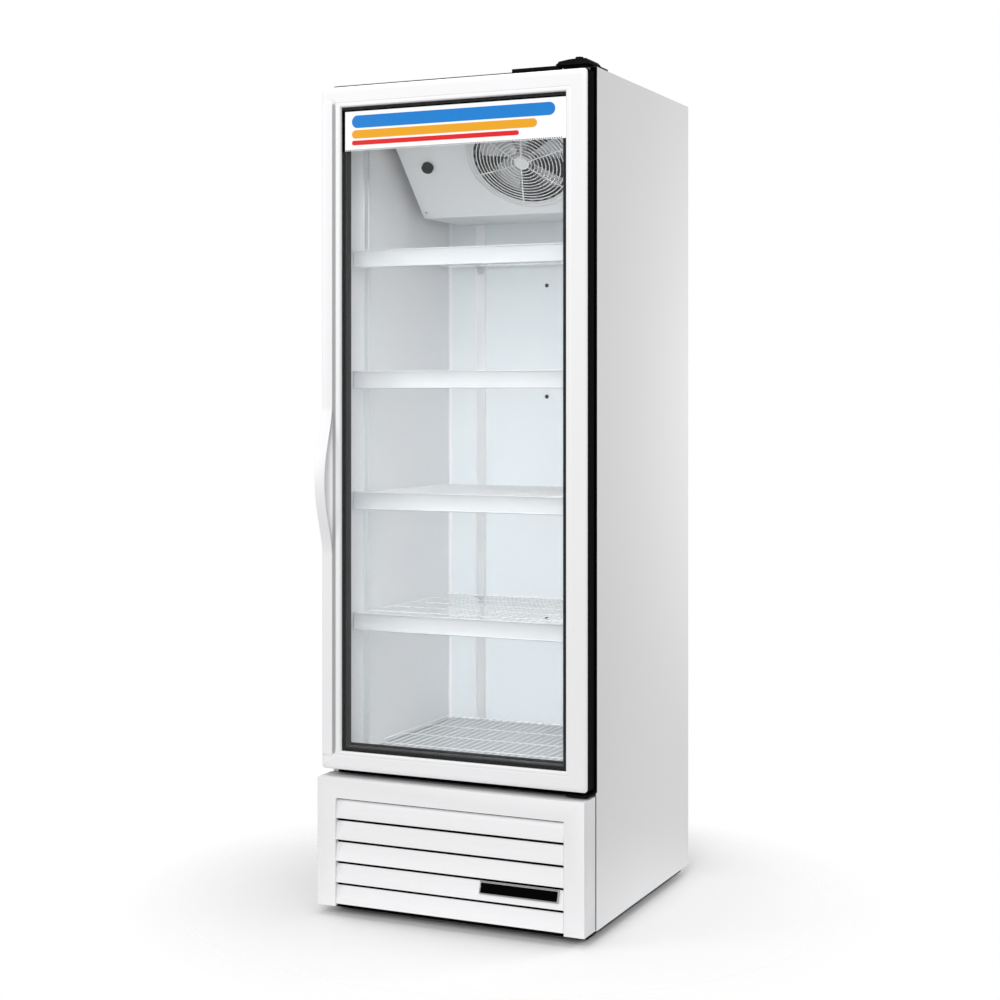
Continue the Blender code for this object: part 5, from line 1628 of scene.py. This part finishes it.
@dataclass
class Fan:
    """A fan of curved blades on a hub.  Its local z is the axis, and z = 0 the hub's front face."""

    node: str
    body: str
    origin: Array
    across: Array
    up: Array
    out: Array
    radius: float
    hub_radius: float
    hub_length: float
    blades: int = 5
    rise: float = 0.022
    sweep: float = 0.15
    camber: float = 0.003

    def blade(self, turn: float) -> Patch:
        """Return one blade, a thin closed surface.

        Over s (0 at the hub, 1 at the tip) and c (0 to 1 along the chord): radius
        r = r0 + s (R - r0), angle = turn + (c - 1/2) w(s) + sweep s, and depth
        = -L/2 + (c - 1/2) rise (1 - 0.35 s) + 4 camber c (1 - c), where w(s) = 1 - 0.25 s radians.
        """
        s = np.linspace(0.0, 1.0, 12)[:, None]
        c = np.linspace(0.0, 1.0, 13)[None, :]
        inner = self.hub_radius - 0.002
        tip = self.radius * (1 - 0.05 * (2 * c - 1) ** 4)
        radius = inner + s * (tip - inner)
        angle = turn + (c - 0.5) * (1.0 - 0.25 * s) + self.sweep * s
        depth = -self.hub_length / 2 + (c - 0.5) * self.rise * (1 - 0.35 * s)
        depth = depth + 4 * self.camber * c * (1 - c)
        thick = 0.0006 * np.sqrt(np.maximum(1 - (2 * c - 1) ** 2, 0.0)) + 0.0001
        x, y = radius * np.cos(angle), radius * np.sin(angle)
        return closed_sheet(np.stack([x, y, depth + thick], -1), np.stack([x, y, depth - thick], -1))

    def build(self) -> None:
        """Make the hub and its blades."""
        t = np.linspace(0.0, math.pi / 2, 6)
        nose = np.stack([self.hub_radius - 0.005 * (1 - np.sin(t)), -0.005 * (1 - np.cos(t))], -1)
        rear = [[self.hub_radius, -self.hub_length], [0.0, -self.hub_length]]
        profile = np.concatenate([[[0.0, 0.0]], nose, rear])
        parts = [turned(profile, np.zeros(3), Z_AXIS, 36)]
        parts += [self.blade(2 * math.pi * k / self.blades) for k in range(self.blades)]
        patch = joined(parts).set_in(self.origin, self.across, self.up, self.out)
        made(f"{self.node}.curved", patch, MILL_ALUMINIUM, self.body, (self.node,), crease=45.0)


@dataclass
class FinCoil:
    """A finned coil: thin fins across copper tubes that turn back at each end."""

    node: str
    body: str
    low: Array
    high: Array
    tube_rows: int
    tube_columns: int
    fin_pitch: float = 0.0042
    fin: float = 0.0005
    fin_margin: float = 0.001
    end_sheet: float = 0.0015
    bend: float = 0.011
    tube_radius: float = 0.0045

    def build(self) -> None:
        """Make the fins and tubes."""
        count = int((self.high[0] - self.low[0] - 0.006) / self.fin_pitch)
        x = self.low[0] + 0.003 + self.fin_pitch * (np.arange(count) + 0.5)
        low, high = self.low + self.fin_margin, self.high - self.fin_margin
        fins = spaced(block((0.0, *low[1:]), (self.fin, *high[1:])), x)
        sheets = [block((edge, *self.low[1:]), (edge + self.end_sheet, *self.high[1:]))
                  for edge in (self.low[0], self.high[0] - self.end_sheet)]
        made(f"{self.node}.fins", [fins, *sheets], FIN_ALUMINIUM, self.body, (self.node,))
        depths = np.linspace(self.low[1], self.high[1], self.tube_columns + 2)[1:-1]
        heights = np.linspace(self.low[2], self.high[2], self.tube_rows + 2)[1:-1]
        start, end = self.low[0] - 0.003, self.high[0] + 0.003
        tubes = [wire((start, y, z), (end, y, z), self.tube_radius, 12) for y in depths for z in heights]
        reach = (heights[1] - heights[0]) / 2
        squeeze = min(reach, self.bend)
        t = np.linspace(0.0, math.pi, 13)
        for y in depths:
            for k in range(0, len(heights) - 1):
                edge, sign = (end, 1.0) if k % 2 == 0 else (start, -1.0)
                x, z = edge + sign * squeeze * np.sin(t), heights[k] + reach * (1 - np.cos(t))
                tubes.append(tube(np.stack([x, np.full_like(t, y), z], -1), self.tube_radius, Y_AXIS, 12))
        made(f"{self.node}.tubes", tubes, BARE_COPPER, self.body, crease=60.0)


@dataclass
class Evaporator:
    """The sloped housing under the ceiling, its guard, fan, coil and control knob."""

    ring_count: int = 14
    ring_wire: float = 0.0015
    first_ring: float = 0.026
    dome: float = 0.010
    spokes: int = 6
    spoke_start: float = 0.018
    cap_radius: float = 0.020
    throat_margin: float = 0.0225
    collar_sheet: float = 0.0008
    collar_roll: float = 0.004
    collar_depth: float = 0.030
    fan_setback: float = 0.010

    def __post_init__(self) -> None:
        """Find the slope's own directions, and the point on its face that the fan's axis passes."""
        self.across = X_AXIS
        self.up = np.array([0.0, -DIAGONAL, DIAGONAL])
        self.out = np.array([0.0, -DIAGONAL, -DIAGONAL])
        guard = extent("evaporator_fan_guard")
        self.guard_radius = guard.size[0] / 2
        self.face = guard.centre - self.out * 0.00205

    def build_guard(self) -> None:
        """Make the guard: rings of radius r_k lifted by h (1 - (r / R)^2), and bent spokes."""
        edge = self.guard_radius - self.ring_wire
        radii = np.linspace(self.first_ring, edge, self.ring_count)
        lift = 0.0016 + self.dome * (1 - (radii / self.guard_radius) ** 2)
        rings = []
        for radius, height in zip(radii, lift):
            path = np.concatenate([circle(radius, 64), np.full((64, 1), height)], -1)
            rings.append(tube(path, self.ring_wire, Z_AXIS, 6, True))
        s = np.linspace(self.spoke_start, edge, 20)
        spoke_lift = self.dome * (1 - (s / self.guard_radius) ** 2)
        for k in range(self.spokes):
            turn = math.radians(15 + 360 * k / self.spokes)
            path = np.stack([s * math.cos(turn), s * math.sin(turn), spoke_lift], -1)
            side = np.array([-math.sin(turn), math.cos(turn), 0.0])
            rings.append(tube(path, self.ring_wire * 1.3, side, 8))
        rings.append(turned(domed(self.cap_radius, 0.003), Z_AXIS * (self.dome - 0.001), Z_AXIS, 36))
        patch = joined(rings).set_in(self.face, self.across, self.up, self.out)
        node = "evaporator_fan_guard"
        made(f"{node}.rings", patch, DIPPED_WIRE, "cabinet", (node,), crease=60.0)

    def build_collar(self) -> None:
        """Ring the fan's throat with a rolled collar, inside the housing's opening."""
        t = np.linspace(0.0, math.pi / 2, 6)
        throat, sheet, roll = self.guard_radius - self.throat_margin, self.collar_sheet, self.collar_roll
        outer = np.array([throat, -roll]) + roll * np.stack([1 - np.cos(t), np.sin(t)], -1)
        inner = outer + [-sheet, sheet]
        foot = [[throat, -self.collar_depth], [throat - sheet, -self.collar_depth]]
        section = np.concatenate([foot[:1], outer, inner[::-1], foot[1:]])
        spin = np.concatenate([circle(1.0, 64), np.zeros((64, 1))], -1)
        points = section[:, 0][:, None, None] * spin[None] + section[:, 1][:, None, None] * Z_AXIS
        ring = lattice(points, wrap_rows=True, wrap_columns=True)
        ring = ring.set_in(self.face, self.across, self.up, self.out)
        made("evaporator_throat", ring, BLACK_ENAMEL, "cabinet")

    def build(self) -> None:
        """Make the whole evaporator."""
        softened("evaporator_housing", HOUSING_WHITE, "cabinet", 0.0008)
        self.build_guard()
        self.build_collar()
        hub = self.face - self.out * self.fan_setback
        Fan(
            "evaporator_fan_blade", "evaporator_fan", hub, self.across, self.up, self.out,
            radius=0.116, hub_radius=0.024, hub_length=0.028,
        ).build()
        softened("evaporator_fan_motor", BLACK_ENAMEL, "cabinet", 0.0006)
        softened("thermostat_knob", BLACK_MOULDING, "control_knob", 0.0005)
        coil = extent("evaporator_coil")
        FinCoil("evaporator_coil", "cabinet", coil.low, coil.high, 6, 3).build()
        housing = extent("evaporator_housing")
        corners = [(sx * (housing.size[0] / 2 - 0.012), su) for sx in (-1, 1) for su in (-0.150, 0.150)]
        middle = self.face.copy()
        middle[0] = 0.0
        points = np.array([middle + x * self.across + u * self.up for x, u in corners])
        screws("evaporator_screws", points, self.out, "cabinet", 0.0042, 0.0018)


# ---------------------------------------------------------------- the machine compartment


@dataclass
class MachineUnit:
    """The condensing unit on its sliding tray."""

    body: str = "condensing_unit"
    shell_lift: float = 0.010
    seam_foot: float = 0.098
    seam_height: float = 0.013
    dome_rise: float = 0.068
    plate_half: float = 0.065
    foot_half: float = 0.05
    foot_inset: float = 0.015
    terminal_lift: float = 0.062
    stub_spacing: float = 0.030
    lid_sheet: float = 0.0018
    coil_inset: float = 0.003

    def build_compressor(self) -> None:
        """Turn the compressor's shell, and stand it on its plate and rubber feet."""
        box = extent("compressor")
        centre = np.array([box.centre[0], box.centre[1], box.low[2] + self.shell_lift])
        radius = box.size[1] / 2
        t = np.linspace(0.0, math.pi / 2, 12)
        low_curve = np.stack([(radius - 0.002) * np.sin(t), 0.020 * (1 - np.cos(t))], -1)
        seam = np.array([[-0.002, 0.0], [0.0, 0.003], [0.0, 0.010], [-0.003, self.seam_height]])
        seam = seam + [radius, self.seam_foot]
        dome = np.stack([(radius - 0.004) * np.cos(t), seam[-1, 1] + self.dome_rise * np.sin(t)], -1)
        shell = turned(np.concatenate([low_curve, seam, dome]), centre, Z_AXIS, 48)
        plate = block(
            (box.low[0], centre[1] - self.plate_half, box.low[2] + 0.006),
            (box.high[0], centre[1] + self.plate_half, box.low[2] + 0.012),
        )
        ends = [centre + [0.0, radius + reach, self.terminal_lift] for reach in (-0.012, 0.016)]
        terminal = bar(rounded_section(0.050, 0.060, 0.006), *ends, X_AXIS, Z_AXIS)
        made("compressor.shell", [shell, plate], BLACK_ENAMEL, self.body, ("compressor",), crease=40.0)
        made("compressor_terminal_cover", terminal, BLACK_MOULDING, self.body, bevel=0.002)
        foot = np.array([
            [0.0, 0.0], [0.010, 0.0], [0.0105, 0.0015], [0.009, 0.003], [0.0105, 0.0045], [0.010, 0.006],
            [0.0, 0.006],
        ])
        columns = (box.low[0] + self.foot_inset, box.high[0] - self.foot_inset)
        rows = (centre[1] - self.foot_half, centre[1] + self.foot_half)
        spots = [[x, y, box.low[2]] for x in columns for y in rows]
        feet = repeated(turned(foot, np.zeros(3), Z_AXIS, 24), np.array(spots))
        made("compressor_feet", feet, SEAL_RUBBER, self.body)
        stub = eased_corners(np.array([[0.0, 0.0, 0.0], [0.0, 0.0, 0.050], [0.0, 0.030, 0.050]]), 0.016, 8)
        tubes = [
            tube(stub + centre + [sign * self.stub_spacing, 0.020, 0.150], 0.0035, X_AXIS, 12)
            for sign in (-1.0, 1.0)
        ]
        made("compressor_stubs", tubes, BARE_COPPER, self.body, crease=60.0)

    def build_box(self) -> None:
        """Dress the electrical box with its cover, its screws and the nut of its cord inlet, with a black
        disc of painted shade for the inlet's hole.
        """
        softened("electrical_box", ZINC_SHEET, self.body, 0.0008)
        box = extent("electrical_box")
        front = box.low[1]
        lid_low = np.array([box.low[0] + 0.004, front - self.lid_sheet, box.low[2] + 0.006])
        lid_high = np.array([box.high[0] - 0.004, front - HAIRLINE, box.high[2] - 0.006])
        made("electrical_box_cover", block(lid_low, lid_high), ZINC_SHEET, self.body, bevel=0.0005)
        spots = [[x, front - self.lid_sheet, z] for x in (lid_low[0] + 0.008, lid_high[0] - 0.008)
                 for z in (lid_low[2] + 0.008, lid_high[2] - 0.008)]
        screws("electrical_box_screws", np.array(spots), -Y_AXIS, self.body)
        inlet = np.array([0.215, box.high[1] - 0.018, 0.110])
        nut = bar(circle(0.0165, 6), inlet, inlet + Y_AXIS * 0.006, X_AXIS, Z_AXIS)
        # The black disc is painted shade for the dark hole of the cord inlet.
        disc = np.array([[0.0, 0.0], [0.0085, 0.0], [0.0085, 0.0006], [0.0, 0.0006]])
        lip = turned(disc, inlet + Y_AXIS * 0.0181, Y_AXIS, 24)
        made("cord_inlet", [nut, lip.toned(1)], (BLACK_MOULDING, SLOT_SHADE), self.body, bevel=0.0005)

    def build(self) -> None:
        """Make everything on the tray, and the guard behind it."""
        rounded = {
            "unit_tray": ZINC_SHEET, "condenser_fan_shroud": BLACK_ENAMEL,
            "condenser_fan_motor": BLACK_ENAMEL, "condensate_pan": BLACK_MOULDING,
        }
        for node, finish in rounded.items():
            softened(node, finish, self.body, 0.0006)
        dressed(ZINC_SHEET, "rear_guard")
        softened("refrigerant_line", BARE_COPPER, self.body, 0.0)
        coil = extent("condenser_coil")
        shroud = extent("condenser_fan_shroud")
        inset = self.coil_inset
        low = np.array([shroud.low[0] + inset, coil.low[1] + inset, coil.low[2] + 0.008])
        high = np.array([shroud.high[0] - inset, coil.high[1] - inset, coil.high[2] - 0.004])
        FinCoil("condenser_coil", self.body, low, high, 9, 2).build()
        blade = extent("condenser_fan_blade")
        hub = np.array([blade.centre[0], FRONT_Y + 0.103, blade.centre[2]])
        Fan(
            "condenser_fan_blade", "condenser_fan", hub, X_AXIS, Z_AXIS, -Y_AXIS,
            radius=0.099, hub_radius=0.026, hub_length=0.028,
        ).build()
        self.build_compressor()
        self.build_box()


# ---------------------------------------------------------------- the studio


@dataclass
class Studio:
    """A pale floor, soft lights and the camera."""

    eye: tuple[float, float, float] = (1.8646, -4.2881, 1.2533)
    heading: float = 25.2426
    focal_length: float = 67.2945
    shift: tuple[float, float] = (0.048, -0.1078)
    backdrop: float = 1.0
    ambient: float = 0.36
    floor_reach: float = 30.0
    floor_fade: tuple[float, float] = (0.42, 0.95)
    shelf_light_x: float = 0.300
    shelf_light_depth: float = 0.060
    shelf_light_power: float = 0.6

    def build_camera(self) -> None:
        """Stand the camera at eye, level, turned to the left by its heading."""
        data = bpy.data.cameras.new("camera")
        data.sensor_width = 36.0
        data.lens = self.focal_length
        data.shift_x, data.shift_y = self.shift
        camera = bpy.data.objects.new("camera", data)
        camera.location = self.eye
        camera.rotation_euler = (math.pi / 2, 0.0, math.radians(self.heading))
        bpy.context.scene.collection.objects.link(camera)
        bpy.context.scene.camera = camera

    def build_light(
        self, name: str, place: tuple, size: float, power: float, aim: tuple = (0.0, 0.0, 1.0)
    ) -> bpy.types.Object:
        """Hang one square soft light at a place, facing a point, and return it."""
        data = bpy.data.lights.new(name, "AREA")
        data.size = size
        data.energy = power
        light = bpy.data.objects.new(name, data)
        light.location = place
        direction = unit(np.array(aim) - np.array(place))
        pitch = math.acos(-direction[2])
        light.rotation_euler = (pitch, 0.0, math.atan2(-direction[0], direction[1]))
        light.visible_camera = False
        bpy.context.scene.collection.objects.link(light)
        return light

    def build_shelf_lights(self) -> None:
        """Stand a tall narrow light behind each side of the doorway, turned across the shelves."""
        box = extent("led_light")
        for name, sign in (("shelf_light_left", -1.0), ("shelf_light_right", 1.0)):
            place = np.array([sign * self.shelf_light_x, FRONT_Y + self.shelf_light_depth, box.centre[2]])
            aim = place + np.array([-sign, 0.6, 0.0])
            light = self.build_light(name, tuple(place), 0.03, self.shelf_light_power, tuple(aim))
            light.data.shape = "RECTANGLE"
            light.data.size_y = box.size[2]
            light.visible_glossy = False
            light.visible_transmission = False

    def build_world(self) -> None:
        """Light the scene evenly, and show a white backdrop behind it."""
        world = bpy.data.worlds.new("studio")
        world.use_nodes = True
        bpy.context.scene.world = world
        tree = world.node_tree
        soft = tree.nodes["Background"]
        soft.inputs["Color"].default_value = (1.0, 1.0, 1.0, 1.0)
        soft.inputs["Strength"].default_value = self.ambient
        shown = tree.nodes.new("ShaderNodeBackground")
        shown.inputs["Color"].default_value = (1.0, 1.0, 1.0, 1.0)
        shown.inputs["Strength"].default_value = self.backdrop
        rays = tree.nodes.new("ShaderNodeLightPath")
        mix = tree.nodes.new("ShaderNodeMixShader")
        tree.links.new(rays.outputs["Is Camera Ray"], mix.inputs["Fac"])
        tree.links.new(soft.outputs["Background"], mix.inputs[1])
        tree.links.new(shown.outputs["Background"], mix.inputs[2])
        tree.links.new(mix.outputs["Shader"], tree.nodes["World Output"].inputs["Surface"])

    def build_floor(self) -> None:
        """Lay a pale floor that fades into the backdrop away from the object."""
        corners = np.array([[-1, -1, 0], [1, -1, 0], [1, 1, 0], [-1, 1, 0]], float) * self.floor_reach
        mesh = mesh_of("floor", Patch(corners, [(np.array([[0, 1, 2, 3]]), 0)]))
        graph = NodeGraph("pale_floor")
        graph.constant(Base_Color=(0.93, 0.93, 0.93, 1.0), Roughness=0.6)
        distance = graph.tree.nodes.new("ShaderNodeVectorMath")
        distance.operation = "LENGTH"
        graph.tree.links.new(graph.place, distance.inputs[0])
        graph.fade(graph.span(distance.outputs["Value"], self.floor_fade, (0.0, 1.0)))
        mesh.materials.append(graph.material)
        floor = bpy.data.objects.new("floor", mesh)
        bpy.context.scene.collection.objects.link(floor)

    def build(self) -> None:
        """Set up the whole studio."""
        bpy.context.scene.view_settings.view_transform = "Standard"
        self.build_camera()
        self.build_world()
        self.build_floor()
        self.build_light("key", (1.2, -6.5, 4.5), 3.0, 245.0)
        self.build_light("front_fill", (-3.6, -3.2, 2.0), 2.0, 50.0)
        self.build_light("low_fill", (1.0, -4.6, 0.7), 1.6, 22.0, (0.0, 0.0, 0.3))
        self.build_light("side_sheen", (4.2, 1.6, 2.2), 1.8, 27.0)
        side_rear = self.build_light("side_rear", (1.6, 1.2, 1.2), 0.6, 14.0, (0.343, 0.35, 1.2))
        side_rear.visible_glossy = False
        self.build_light("top", (0.0, -0.6, 4.2), 1.6, 40.0)
        self.build_shelf_lights()


def main() -> None:
    """Build the studio and every sub-assembly, in order."""
    logging.basicConfig(level=logging.INFO, format="%(message)s")
    Studio().build()
    DoorBezel().build()
    DoorHandle().build()
    DoorGlazing().build()
    DoorSeal().build()
    SignPanel().build()
    CabinetShell().build()
    Grille().build()
    Hinges().build()
    for row in ("front", "rear"):
        for side in ("left", "right"):
            LevelingFoot(row, side).build()
    Interior().build()
    Evaporator().build()
    MachineUnit().build()


if __name__ == "__main__":
    main()
